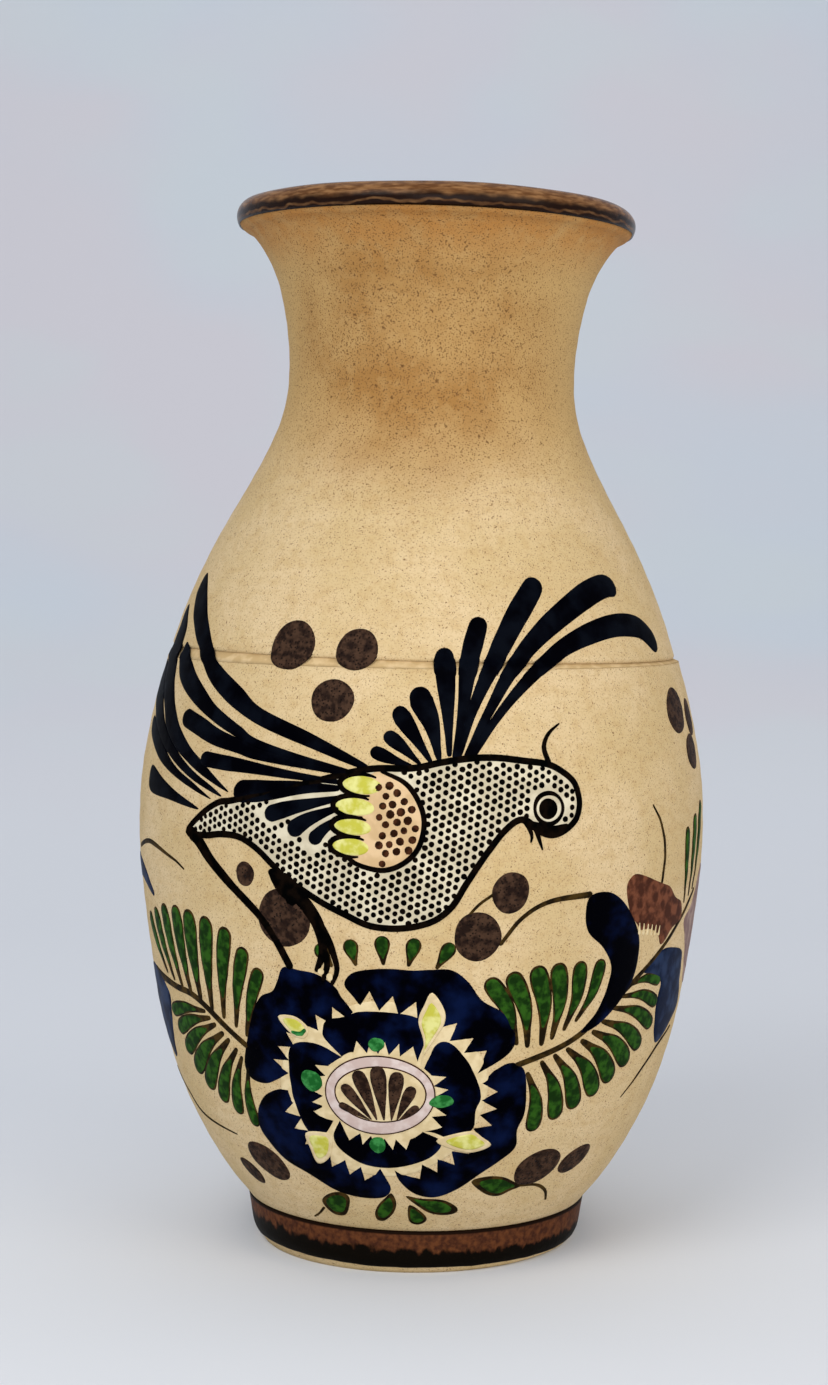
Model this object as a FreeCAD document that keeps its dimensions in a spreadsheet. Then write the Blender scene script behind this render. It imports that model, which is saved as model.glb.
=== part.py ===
"""Hand-thrown stoneware vase with raised slip painting, in millimetres.

The pot is made the way a potter makes a tall vase: a lower bowl and an
upper neck are thrown apart, luted together with slip at the seam, stood on
a coil foot, dipped at the lip and foot in iron glaze, and painted.

Frame: +Z up, origin at the centre of the foot's resting face, the painted
bird looks towards -Y and its beak points to +X.  Azimuth 0 is -Y and grows
towards +X.
"""
import FreeCAD, Part
import math
import os

import Sketcher

ORIGIN_POINT = (-1, 1)
SKETCH_AXES = {"DistanceX": -2, "DistanceY": -1}
START, END, CENTRE = 1, 2, 3
TURN_AXIS = FreeCAD.Vector(0, 1, 0)
FOOT_TOP = "(dims.foot_sink + dims.heel_height)"

# Each pole of a wall's outline: name, radius, height above its own base.
LOWER_WALL = [
    ("heel", 50.0, 6.5),
    ("under_belly", 59.5, 17.0),
    ("low_belly", 74.5, 45.0),
    ("mid_belly", 80.0, 83.0),
    ("full_belly", 85.0, 119.0),
    ("high_belly", 80.5, 146.0),
    ("seam", 75.0, 164.5),
]
UPPER_WALL = [
    ("joint", 74.0, 0.0),
    ("shoulder", 69.0, 16.0),
    ("high_shoulder", 60.5, 34.0),
    ("neck_root", 46.0, 58.0),
    ("neck", 40.5, 76.0),
    ("throat", 43.0, 98.0),
    ("flare", 46.5, 112.0),
    ("lip", 54.0, 120.8),
]

DIMENSIONS = {
    # clay
    "wall": 5.5,
    "floor_height": 15.5,
    "slab_radius": 41.0,
    "lower_lean": 0.8,
    "upper_lean": 1.7,
    "lean_start": 0.5,
    "lower_base": 7.0,
    "seam_gap": 1.9,
    "roll_radius": 53.6,
    "roll_height": 125.0,
    "roll_size": 4.2,
    # foot
    "foot_sink": 9.0,
    "foot_radius": 49.6,
    "foot_under_radius": 44.5,
    "bevel_radius": 48.0,
    "bevel_height": 5.4,
    # glaze and paint
    "glaze": 0.4,
    "foot_glaze_gap": 1.1,
    "rim_glaze_drop": 2.3,
    "paint": 0.3,
    "slip_inset": 0.6,
    "slip_height": 6.0,
    "reach": 100.0,
}

# Raised painting: azimuth, height of the middle, length, width, and tilt
# from level, each stroke an oval.
PAINTING = {
    "bird_body": [
        (-28, 130, 60, 13, 20),
        (1, 126, 58, 40, 42),
        (22, 138, 22, 17, -10),
    ],
    "left_wing_feathers": [
        (-41, 171, 92, 5, 147),
        (-39, 160, 75, 5, 155),
        (-36, 150, 56, 5, 169),
    ],
    "left_wing_plumes": [
        (-62, 164, 44, 3, 130),
        (-66, 155, 36, 3, 140),
        (-66, 141, 28, 4, 168),
    ],
    "right_wing_feathers": [
        (40, 172, 70, 6, 15),
        (31, 176, 58, 6, 36),
        (18, 176, 46, 6, 61),
        (9, 170, 34, 5, 77),
        (2, 168, 28, 5, 92),
        (-4, 162, 20, 5, 112),
    ],
    "flower_outer_petals": [
        (-2, 88, 22, 9, 170),
        (-35, 74, 26, 8, 120),
        (-35, 38, 30, 8, -125),
        (-8, 28, 26, 7, 0),
        (20, 40, 30, 8, 60),
        (16, 74, 16, 8, 140),
    ],
    "flower_inner_petals": [
        (-9, 77, 22, 7, 0),
        (-26, 57, 24, 6, 90),
        (10, 57, 24, 6, 90),
        (-8, 38, 24, 6, 0),
    ],
    "flower_centre": [
        (-8, 57, 26, 20, 0),
    ],
    "left_fern": [
        (-40, 88, 26, 4, 90),
        (-46, 89, 26, 4, 100),
        (-52, 91, 24, 3, 107),
        (-59, 92, 22, 3, 108),
        (-66, 93, 20, 2, 108),
        (-52, 71, 50, 2, 158),
        (-53, 59, 19, 4, 40),
        (-47, 55, 18, 4, 58),
        (-42, 50, 17, 4, 75),
    ],
    "right_fern": [
        (41, 77, 60, 2, 34),
        (20, 82, 22, 4, 97),
        (26, 83, 20, 4, 80),
        (32, 86, 16, 3, 73),
        (51, 75, 20, 4, -10),
        (46, 66, 22, 5, -18),
        (40, 58, 24, 5, -24),
        (33, 51, 22, 5, -44),
        (25, 49, 16, 4, -72),
    ],
    "flower_buds": [
        (39, 100, 24, 12, 95),
        (66, 76, 22, 10, 80),
        (-76, 74, 18, 8, 100),
    ],
    "berries": [
        (-29, 177, 14, 11, 90),
        (-14, 178, 12, 10, 0),
        (-19, 164, 12, 11, 90),
        (66, 157, 13, 7, 95),
        (76, 155, 10, 6, 95),
        (72, 145, 11, 6, 95),
        (-42, 115, 6, 5, 90),
        (-30, 104, 12, 10, 90),
        (17, 113, 9, 9, 0),
        (10, 101, 13, 12, 0),
        (-43, 33, 13, 7, 0),
        (33, 32, 14, 7, 15),
    ],
    "back_sprig": [
        (180, 100, 70, 2, 90),
        (172, 118, 24, 5, 60),
        (188, 118, 24, 5, 120),
        (171, 96, 26, 6, 50),
        (189, 96, 26, 6, 130),
        (170, 74, 26, 6, 40),
        (190, 74, 26, 6, 140),
        (180, 144, 14, 12, 0),
    ],
}


def add_sheet(document):
    """Write every driving dimension to a sheet, each cell with an alias."""
    sheet = document.addObject("Spreadsheet::Sheet", "dims")
    cells = dict(DIMENSIONS)
    for pole, radius, height in LOWER_WALL + UPPER_WALL:
        cells[pole + "_radius"] = radius
        cells[pole + "_height"] = height
    for motif, strokes in PAINTING.items():
        for number, stroke in enumerate(strokes, 1):
            cells[f"{motif}_{number}_length"] = stroke[2]
            cells[f"{motif}_{number}_width"] = stroke[3]
    for row, (alias, value) in enumerate(cells.items(), 1):
        sheet.set(f"A{row}", alias)
        sheet.set(f"B{row}", str(value))
        sheet.setAlias(f"B{row}", alias)
    document.recompute()
    return sheet


def place(item, lean, across, up):
    """Lean a section to the right about its own base, bound to the sheet."""
    item.Placement = FreeCAD.Placement(FreeCAD.Vector(), FreeCAD.Rotation(TURN_AXIS, 1))
    item.setExpression("Placement.Rotation.Angle", lean)
    item.setExpression("Placement.Base.x", across)
    item.setExpression("Placement.Base.z", up)


def place_lower(item):
    """Stand an item in the lower section's leaning frame."""
    place(item, "dims.lower_lean", "dims.lean_start", "dims.lower_base")


def place_upper(item):
    """Stand an item in the frame of the upper section, on top of the seam."""
    across = "dims.lean_start + dims.seam_height * sin(dims.lower_lean * 1deg)"
    up = "dims.lower_base + dims.seam_height * cos(dims.lower_lean * 1deg) + dims.seam_gap"
    place(item, "dims.upper_lean", across, up)


def place_foot(item):
    """Stand an item in the lower section's frame, sunk so that heights stay positive."""
    across = "dims.lean_start - dims.foot_sink * sin(dims.lower_lean * 1deg)"
    up = "dims.lower_base - dims.foot_sink * cos(dims.lower_lean * 1deg)"
    place(item, "dims.lower_lean", across, up)


def new_sketch(body, name):
    """An empty sketch on the body's own upright plane: X across, Y up."""
    upright = next(f for f in body.Origin.OriginFeatures if f.Role == "XZ_Plane")
    sketch = body.newObject("Sketcher::SketchObject", name)
    sketch.AttachmentSupport = [(upright, "")]
    sketch.MapMode = "FlatFace"
    return sketch


def spot(sketch, across, up):
    """The point that two expressions give; None means on the axis."""
    values = [0 if text is None else sketch.evalExpression(text) for text in (across, up)]
    return FreeCAD.Vector(float(values[0]), float(values[1]), 0)


def pin(sketch, geometry, vertex, across, up):
    """Fix one vertex by its distances from the sketch's origin."""
    for kind, text in (("DistanceX", across), ("DistanceY", up)):
        if text is None:
            axis = SKETCH_AXES[kind]
            sketch.addConstraint(Sketcher.Constraint("PointOnObject", geometry, vertex, axis))
            continue
        value = float(sketch.evalExpression(text))
        rule = Sketcher.Constraint(kind, *ORIGIN_POINT, geometry, vertex, value)
        index = sketch.addConstraint(rule)
        sketch.setExpression(f"Constraints[{index}]", text)


def add_spline(sketch, poles):
    """A cubic curve whose control points are bound to the sheet."""
    points = [spot(sketch, *pole) for pole in poles]
    curve = Part.BSplineCurve(points, None, None, False, 3, None, False)
    spline = sketch.addGeometry(curve, False)
    sketch.exposeInternalGeometry(spline)
    for step, pole in enumerate(poles, 1):
        pin(sketch, spline + step, CENTRE, *pole)
    return spline


def join(sketch, first, first_end, second, second_end):
    """Make two ends meet."""
    rule = Sketcher.Constraint("Coincident", first, first_end, second, second_end)
    sketch.addConstraint(rule)


def add_path(sketch, corners, first=None, last=None):
    """Straight edges through corners, tied to the ends of other edges.

    first and last are (geometry, vertex) pairs that own the outer corners,
    so only the corners between them are pinned.
    """
    points = [spot(sketch, *corner) for corner in corners]
    lines = []
    for begin, finish in zip(points, points[1:]):
        lines.append(sketch.addGeometry(Part.LineSegment(begin, finish), False))
    for number, line in enumerate(lines):
        if number == 0 and first:
            join(sketch, line, START, *first)
        elif number == 0:
            pin(sketch, line, START, *corners[0])
        else:
            join(sketch, line, START, lines[number - 1], END)
        if number == len(lines) - 1 and last:
            join(sketch, line, END, *last)
        else:
            pin(sketch, line, END, *corners[number + 1])
    return lines


def add_loop(sketch, corners):
    """A closed outline of straight edges."""
    lines = add_path(sketch, corners)
    back = [spot(sketch, *corners[-1]), spot(sketch, *corners[0])]
    closing = sketch.addGeometry(Part.LineSegment(*back), False)
    join(sketch, closing, START, lines[-1], END)
    join(sketch, closing, END, lines[0], START)


def revolve(body, sketch, name):
    """Turn a sketch once round the upright axis."""
    turned = body.newObject("PartDesign::Revolution", name)
    turned.Profile = sketch
    turned.ReferenceAxis = (sketch, ["V_Axis"])
    turned.Angle = 360
    sketch.Visibility = False


def wall_poles(stations, offset):
    """Control points of a wall's outline, moved in or out by offset."""
    return [(f"dims.{name}_radius{offset}", height_of(name, height)) for name, _, height in stations]


def height_of(name, height):
    """The cell of a station's height, or None for a station on the base."""
    return f"dims.{name}_height" if height else None


def add_band(document, name, outer_poles, inner_poles, base=()):
    """A thrown band between two curves, closed at the bottom by base."""
    body = document.addObject("PartDesign::Body", name)
    sketch = new_sketch(body, name + "_outline")
    outer = add_spline(sketch, outer_poles)
    inner = add_spline(sketch, inner_poles)
    add_path(sketch, [outer_poles[-1], inner_poles[-1]], (outer, END), (inner, END))
    bottom = [inner_poles[0], *base, outer_poles[0]]
    add_path(sketch, bottom, (inner, START), (outer, START))
    revolve(body, sketch, name + "_turned")
    return body


def lower_inside(offset=""):
    """The bowl's inner curve, which starts on its floor."""
    poles = wall_poles(LOWER_WALL, f" - dims.wall{offset}")
    return [(poles[0][0], "dims.floor_height" + offset.replace("-", "+"))] + poles[1:]


def upper_inside(offset=""):
    """The neck's inner curve, which ends on the rolled lip."""
    poles = wall_poles(UPPER_WALL, f" - dims.wall{offset}")
    return poles[:-1] + [(f"dims.roll_radius - dims.roll_size{offset}", "dims.roll_height")]


def add_lower_body(document):
    """The bowl: floor slab, belly and wall up to the seam."""
    base = [
        (None, "dims.floor_height"),
        (None, None),
        ("dims.slab_radius", None),
        ("dims.slab_radius", "dims.heel_height"),
    ]
    body = add_band(document, "lower_body", wall_poles(LOWER_WALL, ""), lower_inside(), base)
    place_lower(body)
    return body


def add_upper_body(document):
    """Shoulder, neck and flare, with the lip rolled over into a bead."""
    body = add_band(document, "upper_body", wall_poles(UPPER_WALL, ""), upper_inside())
    sketch = new_sketch(body, "lip_roll")
    centre = ("dims.roll_radius", "dims.roll_height")
    size = float(sketch.evalExpression("dims.roll_size"))
    ring = sketch.addGeometry(Part.Circle(spot(sketch, *centre), FreeCAD.Vector(0, 0, 1), size))
    pin(sketch, ring, CENTRE, *centre)
    index = sketch.addConstraint(Sketcher.Constraint("Radius", ring, size))
    sketch.setExpression(f"Constraints[{index}]", "dims.roll_size")
    revolve(body, sketch, "lip_roll_turned")
    place_upper(body)
    return body


def add_foot_ring(document):
    """The foot coil, luted under the bowl's heel and cut flat to stand on."""
    body = document.addObject("PartDesign::Body", "foot_blank")
    sketch = new_sketch(body, "foot_outline")
    add_loop(sketch, [
        ("dims.slab_radius", None),
        ("dims.foot_under_radius", None),
        ("dims.bevel_radius", "dims.bevel_height"),
        ("dims.foot_radius", FOOT_TOP),
        ("dims.slab_radius", FOOT_TOP),
    ])
    revolve(body, sketch, "foot_turned")
    place_foot(body)
    stand = document.addObject("Part::Cylinder", "above_table")
    stand.setExpression("Radius", "dims.reach")
    stand.setExpression("Height", "dims.reach")
    return keep_common(document, "foot_ring", body, stand)


def add_foot_glaze(document):
    """The iron glaze band round the foot; the bevel below it stays bare."""
    body = document.addObject("PartDesign::Body", "foot_glaze")
    sketch = new_sketch(body, "foot_glaze_outline")
    flare = f"(dims.foot_radius - dims.bevel_radius) / ({FOOT_TOP} - dims.bevel_height)"
    edge = f"dims.foot_radius - dims.foot_glaze_gap * {flare}"
    top = f"{FOOT_TOP} - dims.foot_glaze_gap"
    add_loop(sketch, [
        ("dims.bevel_radius", "dims.bevel_height"),
        ("dims.bevel_radius + dims.glaze", "dims.bevel_height"),
        (f"{edge} + dims.glaze", top),
        (edge, top),
    ])
    revolve(body, sketch, "foot_glaze_turned")
    place_foot(body)
    return body


def add_rim_glaze(document, upper_body):
    """The iron glaze over the rolled lip, from outside to inside."""
    body = document.addObject("PartDesign::Body", "rim_glaze_blank")
    sketch = new_sketch(body, "rim_glaze_outline")
    centre = ("dims.roll_radius", "dims.roll_height")
    size = float(sketch.evalExpression("dims.roll_size + dims.glaze"))
    drop = float(sketch.evalExpression("dims.rim_glaze_drop"))
    circle = Part.Circle(spot(sketch, *centre), FreeCAD.Vector(0, 0, 1), size)
    arc = sketch.addGeometry(Part.ArcOfCircle(circle, -math.asin(drop / size), math.pi))
    pin(sketch, arc, CENTRE, *centre)
    index = sketch.addConstraint(Sketcher.Constraint("Radius", arc, size))
    sketch.setExpression(f"Constraints[{index}]", "dims.roll_size + dims.glaze")
    index = sketch.addConstraint(Sketcher.Constraint("DistanceY", arc, START, arc, CENTRE, drop))
    sketch.setExpression(f"Constraints[{index}]", "dims.rim_glaze_drop")
    sketch.addConstraint(Sketcher.Constraint("Horizontal", arc, END, arc, CENTRE))
    ends = [sketch.getPoint(arc, END), sketch.getPoint(arc, START)]
    chord = sketch.addGeometry(Part.LineSegment(*ends), False)
    join(sketch, chord, START, arc, END)
    join(sketch, chord, END, arc, START)
    revolve(body, sketch, "rim_glaze_turned")
    place_upper(body)
    return cut_away(document, "rim_glaze", body, upper_body)


def add_seam_slip(document):
    """The wedge of slip that fills the gap between the leaning sections."""
    body = document.addObject("PartDesign::Body", "slip_blank")
    sketch = new_sketch(body, "slip_outline")
    inner = "dims.seam_radius - dims.wall"
    outer = "dims.seam_radius - dims.slip_inset"
    top = "dims.seam_height + dims.slip_height"
    add_loop(sketch, [
        (inner, "dims.seam_height"),
        (outer, "dims.seam_height"),
        (outer, top),
        (inner, top),
    ])
    revolve(body, sketch, "slip_turned")
    place_lower(body)

    below = document.addObject("Part::Cylinder", "below_joint_disc")
    below.setExpression("Radius", "dims.reach")
    below.setExpression("Height", "dims.slip_height * 2")
    below.Placement = FreeCAD.Placement(
        FreeCAD.Vector(0, 0, -2 * DIMENSIONS["slip_height"]), FreeCAD.Rotation())
    holder = document.addObject("Part::Compound", "below_joint")
    holder.Links = [below]
    place_upper(holder)
    return keep_common(document, "seam_slip", body, holder)


def add_interior_glaze(document):
    """The poured glaze that lines the bowl and the neck."""
    lining = [(None, "dims.floor_height + dims.glaze"), (None, "dims.floor_height")]
    bowl = add_band(document, "bowl_lining", lower_inside(), lower_inside(" - dims.glaze"), lining)
    place_lower(bowl)
    neck = add_band(document, "neck_lining", upper_inside(), upper_inside(" - dims.glaze"))
    place_upper(neck)
    return gather(document, "interior_glaze", [bowl, neck])


def add_paint_shell(document):
    """The thin space over both walls that the raised painting fills."""
    shells = []
    for name, stations, stand in (
            ("lower_paint", LOWER_WALL, place_lower), ("upper_paint", UPPER_WALL, place_upper)):
        outer = wall_poles(stations, " + dims.paint")
        shell = add_band(document, name, outer, wall_poles(stations, ""))
        stand(shell)
        shells.append(shell)
    return gather(document, "paint_shell", shells)


def add_stroke(document, name, azimuth, height, tilt):
    """An oval bar that points out from the axis, to stamp one stroke."""
    oval = document.addObject("Part::Ellipse", name + "_oval")
    oval.setExpression("MajorRadius", f"dims.{name}_length / 2")
    oval.setExpression("MinorRadius", f"dims.{name}_width / 2")
    angle = math.radians(azimuth)
    level = FreeCAD.Vector(math.cos(angle), math.sin(angle), 0)
    outward = FreeCAD.Vector(math.sin(angle), -math.cos(angle), 0)
    facing = FreeCAD.Rotation(level, FreeCAD.Vector(0, 0, 1), outward, "ZXY")
    spin = FreeCAD.Rotation(FreeCAD.Vector(0, 0, 1), tilt)
    oval.Placement = FreeCAD.Placement(FreeCAD.Vector(0, 0, height), facing * spin)
    bar = document.addObject("Part::Extrusion", name)
    bar.Base = oval
    bar.DirMode = "Custom"
    bar.Dir = outward
    bar.setExpression("LengthFwd", "dims.reach")
    bar.Solid = True
    return bar


def add_motif(document, motif, strokes, shell):
    """One painted motif: its strokes stamped out of the paint shell."""
    bars = []
    for number, (azimuth, height, _, _, tilt) in enumerate(strokes, 1):
        bars.append(add_stroke(document, f"{motif}_{number}", azimuth, height, tilt))
    stamp = bars[0]
    if len(bars) > 1:
        stamp = document.addObject("Part::MultiFuse", motif + "_stamp")
        stamp.Shapes = bars
    return keep_common(document, motif, shell, stamp)


def cut_away(document, name, base, tool):
    """Base with the space of tool taken out."""
    result = document.addObject("Part::Cut", name)
    result.Base = base
    result.Tool = tool
    return result


def keep_common(document, name, base, tool):
    """The part of base that lies inside tool."""
    result = document.addObject("Part::Common", name)
    result.Base = base
    result.Tool = tool
    return result


def gather(document, name, items):
    """Several solids that never touch, kept as one piece."""
    result = document.addObject("Part::Compound", name)
    result.Links = items
    return result


def check_and_write(document, pieces):
    """Stop on any failed object, then write one file for each piece."""
    document.recompute()
    for item in document.Objects:
        if {"Invalid", "Error"} & set(item.State):
            raise RuntimeError(f"{item.Name} failed: {item.State}")
    for piece in pieces:
        if piece.Shape.isNull() or not piece.Shape.isValid():
            raise RuntimeError(f"{piece.Name} has no valid shape")
    os.makedirs("parts", exist_ok=True)
    for piece in pieces:
        piece.Label = piece.Name
        piece.Shape.exportStep(f"parts/{piece.Label}.step")
        solids = len(piece.Shape.Solids)
        print(f"{piece.Label}: {solids} solid(s), {piece.Shape.Volume / 1000:.3f} cm3")


def build():
    """Make the whole vase."""
    document = FreeCAD.newDocument("stoneware_vase")
    add_sheet(document)
    lower_body = add_lower_body(document)
    upper_body = add_upper_body(document)
    pieces = [
        lower_body,
        upper_body,
        add_seam_slip(document),
        add_foot_ring(document),
        add_foot_glaze(document),
        add_rim_glaze(document, upper_body),
        add_interior_glaze(document),
    ]
    shell = add_paint_shell(document)
    for motif, strokes in PAINTING.items():
        pieces.append(add_motif(document, motif, strokes, shell))
    check_and_write(document, pieces)


build()
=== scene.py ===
"""The looks of a hand-thrown, slip-painted stoneware vase.

Lengths are millimetres while a shape is worked out.  They are metres in
meshes, in heights and distances inside a material, and for the backdrop, the
lights and the camera.  Angles are degrees.  Azimuth 0 is the front (-Y) and
grows towards +X.  A place on the pot is (azimuth, height), and lift is how far
a point stands off the clay.
"""
import math

import bmesh
import bpy
import numpy as np
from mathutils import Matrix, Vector
from mathutils.bvhtree import BVHTree
from mathutils.geometry import delaunay_2d_cdt


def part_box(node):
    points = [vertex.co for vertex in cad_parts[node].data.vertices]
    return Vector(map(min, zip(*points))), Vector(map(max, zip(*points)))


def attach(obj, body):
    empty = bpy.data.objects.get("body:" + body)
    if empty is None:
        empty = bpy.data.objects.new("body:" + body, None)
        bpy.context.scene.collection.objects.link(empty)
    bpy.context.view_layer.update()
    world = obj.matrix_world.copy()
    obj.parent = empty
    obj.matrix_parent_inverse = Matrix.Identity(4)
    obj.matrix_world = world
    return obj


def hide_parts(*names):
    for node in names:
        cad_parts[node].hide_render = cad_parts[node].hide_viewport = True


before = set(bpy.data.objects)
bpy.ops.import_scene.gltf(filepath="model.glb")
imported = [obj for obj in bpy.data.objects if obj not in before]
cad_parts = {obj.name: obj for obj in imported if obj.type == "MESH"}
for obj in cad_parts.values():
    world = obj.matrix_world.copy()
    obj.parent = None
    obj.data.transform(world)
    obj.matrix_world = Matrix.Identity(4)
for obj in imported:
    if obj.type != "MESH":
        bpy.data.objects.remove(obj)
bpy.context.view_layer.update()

MM = 0.001
FAR = 200.0
RANDOM = np.random.default_rng(11)


# ---------------------------------------------------------------- the frame

def tree_of(objects):
    """One search tree over the meshes of several objects."""
    points, faces = [], []
    for item in objects:
        start = len(points)
        points += [v.co.copy() for v in item.data.vertices]
        faces += [[start + i for i in p.vertices] for p in item.data.polygons]
    return BVHTree.FromPolygons(points, faces)


def tree_of_nodes(*names):
    """One search tree over several CAD nodes."""
    return tree_of([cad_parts[name] for name in names])


def hit(tree, start, end):
    """Where the line from start towards end first meets the tree."""
    begin, finish = Vector(start) * MM, Vector(end) * MM
    found = tree.ray_cast(begin, finish - begin, 2 * (finish - begin).length)[0]
    return None if found is None else np.array(found) / MM


def soften(values, reach):
    """Average a row of numbers with a bell of that reach, keeping its ends."""
    steps = np.arange(-3 * reach, 3 * reach + 1)
    bell = np.exp(-0.5 * (steps / reach) ** 2)
    padded = np.pad(values, 3 * reach, mode="reflect", reflect_type="odd")
    return np.convolve(padded, bell / bell.sum(), mode="valid")


class Axis:
    """The leaning line that a section was thrown about."""

    def __init__(self, tree, low, high):
        self.lean, self.across = 0.0, 0.0
        for _ in range(6):
            bottom, top = (self.middle(tree, up) for up in (low, high))
            self.lean = math.atan2(top[0] - bottom[0], top[2] - bottom[2])
            self.across = bottom[0] - bottom[2] * math.tan(self.lean)

    def middle(self, tree, up):
        """Point halfway between the two sides of a node, square to the axis."""
        inner = self.point(0, 0, up)
        sides = [hit(tree, self.point(azimuth, FAR, up), inner) for azimuth in (-90, 90)]
        return (sides[0] + sides[1]) / 2

    def point(self, azimuth, radius, up):
        """Place in the shared frame of a point that is given about this axis."""
        angle = np.radians(azimuth)
        side, front = radius * np.sin(angle), -radius * np.cos(angle)
        cos, sin = math.cos(self.lean), math.sin(self.lean)
        x = self.across + side * cos + up * sin
        return np.stack(np.broadcast_arrays(x, front, up * cos - side * sin), -1)

    def radius(self, tree, up, inside=False):
        """Mean radius of a node at one place along the axis."""
        middle = self.point(0, 0, up)
        found = []
        for azimuth in range(0, 360, 15):
            line = [self.point(azimuth, FAR, up), middle]
            place = hit(tree, *(line[::-1] if inside else line))
            found.append(np.linalg.norm(place - middle))
        return np.mean(found)

    def profile(self, tree, ups, inside=False, reach=2):
        """Softened radii of a node at many places along the axis."""
        radii = np.array([self.radius(tree, up, inside) for up in ups])
        return soften(radii, reach)


BOWL_TREE = tree_of_nodes("lower_body")
NECK_TREE = tree_of_nodes("upper_body")
FOOT_TREE = tree_of_nodes("foot_ring")
LINING_TREE = tree_of_nodes("interior_glaze")
LOWER = Axis(BOWL_TREE, 40, 150)
UPPER = Axis(NECK_TREE, 190, 270)


def corner(node, end, axis):
    """One coordinate, in millimetres, of a CAD node's box; end 0 is the lowest."""
    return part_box(node)[end][axis] / MM


SLAB = corner("lower_body", 0, 2)
WALL = 5.5
SEAM_RADIUS = 74.5
FOOT_TOP_RADIUS = 49
SEAM = corner("lower_body", 1, 2) - SEAM_RADIUS * math.sin(LOWER.lean)
JOINT = corner("upper_body", 0, 2) + SEAM_RADIUS * math.sin(UPPER.lean)
FOOT_TOP = corner("foot_ring", 1, 2) - FOOT_TOP_RADIUS * math.sin(LOWER.lean)
FOOT_HOLE = 41.0
GLAZE = 0.4
BEAD = 4.2
BEAD_RADIUS = corner("rim_glaze", 1, 1) - BEAD - GLAZE
BEAD_UP = corner("rim_glaze", 1, 2) - BEAD - GLAZE - BEAD_RADIUS * math.sin(UPPER.lean)
FLOOR = LINING_TREE.ray_cast(Vector((0, 0, 0.1)), Vector((0, 0, -1)))[0].z / MM


def middle_at(height):
    """Across-position of the pot's middle at each height."""
    lower = LOWER.across + height * math.tan(LOWER.lean)
    upper = UPPER.across + height * math.tan(UPPER.lean)
    return np.where(np.asarray(height) < (SEAM + JOINT) / 2, lower, upper)


# ------------------------------------------------------------- mesh making

def in_scene(name, data):
    """A new object, linked to the scene."""
    made = bpy.data.objects.new(name, data)
    bpy.context.scene.collection.objects.link(made)
    return made


def make_piece(name, shapes, paint, slot, *replaced):
    """One object from closed shapes, each a pair of points and faces."""
    points, faces = [], []
    for shape_points, shape_faces in shapes:
        start = len(points)
        points += (np.asarray(shape_points) * MM).tolist()
        faces += [[start + i for i in face] for face in shape_faces]
    mesh = bpy.data.meshes.new(name)
    mesh.from_pydata(points, [], faces)
    turn_outwards(mesh)
    mesh.materials.append(paint)
    mesh.shade_smooth()
    piece = in_scene(name, mesh)
    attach(piece, "root")
    if replaced:
        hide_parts(*replaced)
    return piece


def turn_outwards(mesh):
    """Make every face of a closed mesh face outwards."""
    work = bmesh.new()
    work.from_mesh(mesh)
    bmesh.ops.recalc_face_normals(work, faces=work.faces)
    work.to_mesh(mesh)
    work.free()


def skin_of(rows, columns, closed):
    """Quads over a grid of points whose columns go round."""
    faces = []
    for i in range(rows if closed else rows - 1):
        for j in range(columns):
            k, m = (i + 1) % rows, (j + 1) % columns
            faces.append([i * columns + j, i * columns + m, k * columns + m, k * columns + j])
    return faces


def tube(rings, start, end):
    """Rings of points joined one to the next and shut by two end points."""
    rows, columns = rings.shape[:2]
    points = np.concatenate([rings.reshape(-1, 3), [start, end]])
    faces = skin_of(rows, columns, False)
    first, last = len(points) - 2, len(points) - 1
    tail = (rows - 1) * columns
    for j in range(columns):
        m = (j + 1) % columns
        faces.append([first, m, j])
        faces.append([last, tail + j, tail + m])
    return points, faces


def hoop(rings):
    """Rings of points joined one to the next, the last to the first."""
    return rings.reshape(-1, 3), skin_of(*rings.shape[:2], True)


TURN_COUNT = 288
TURNS = np.arange(TURN_COUNT) * 360.0 / TURN_COUNT


def turned(axis, profile):
    """Rings of points about an axis, from rows of (radius, up)."""
    radii, ups = (np.array(part)[:, None] for part in zip(*profile))
    return axis.point(TURNS[None, :], radii, ups)


def rows(radii, ups):
    """Pairs of (radius, up)."""
    return list(zip(radii, ups))


def arc(radius, up, size, start, end, steps):
    """Rows of (radius, up) round a circle; 0 points outwards and 90 up."""
    angles = np.radians(np.linspace(start, end, steps))
    return rows(radius + size * np.cos(angles), up + size * np.sin(angles))


# -------------------------------------------------------------- materials

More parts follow.
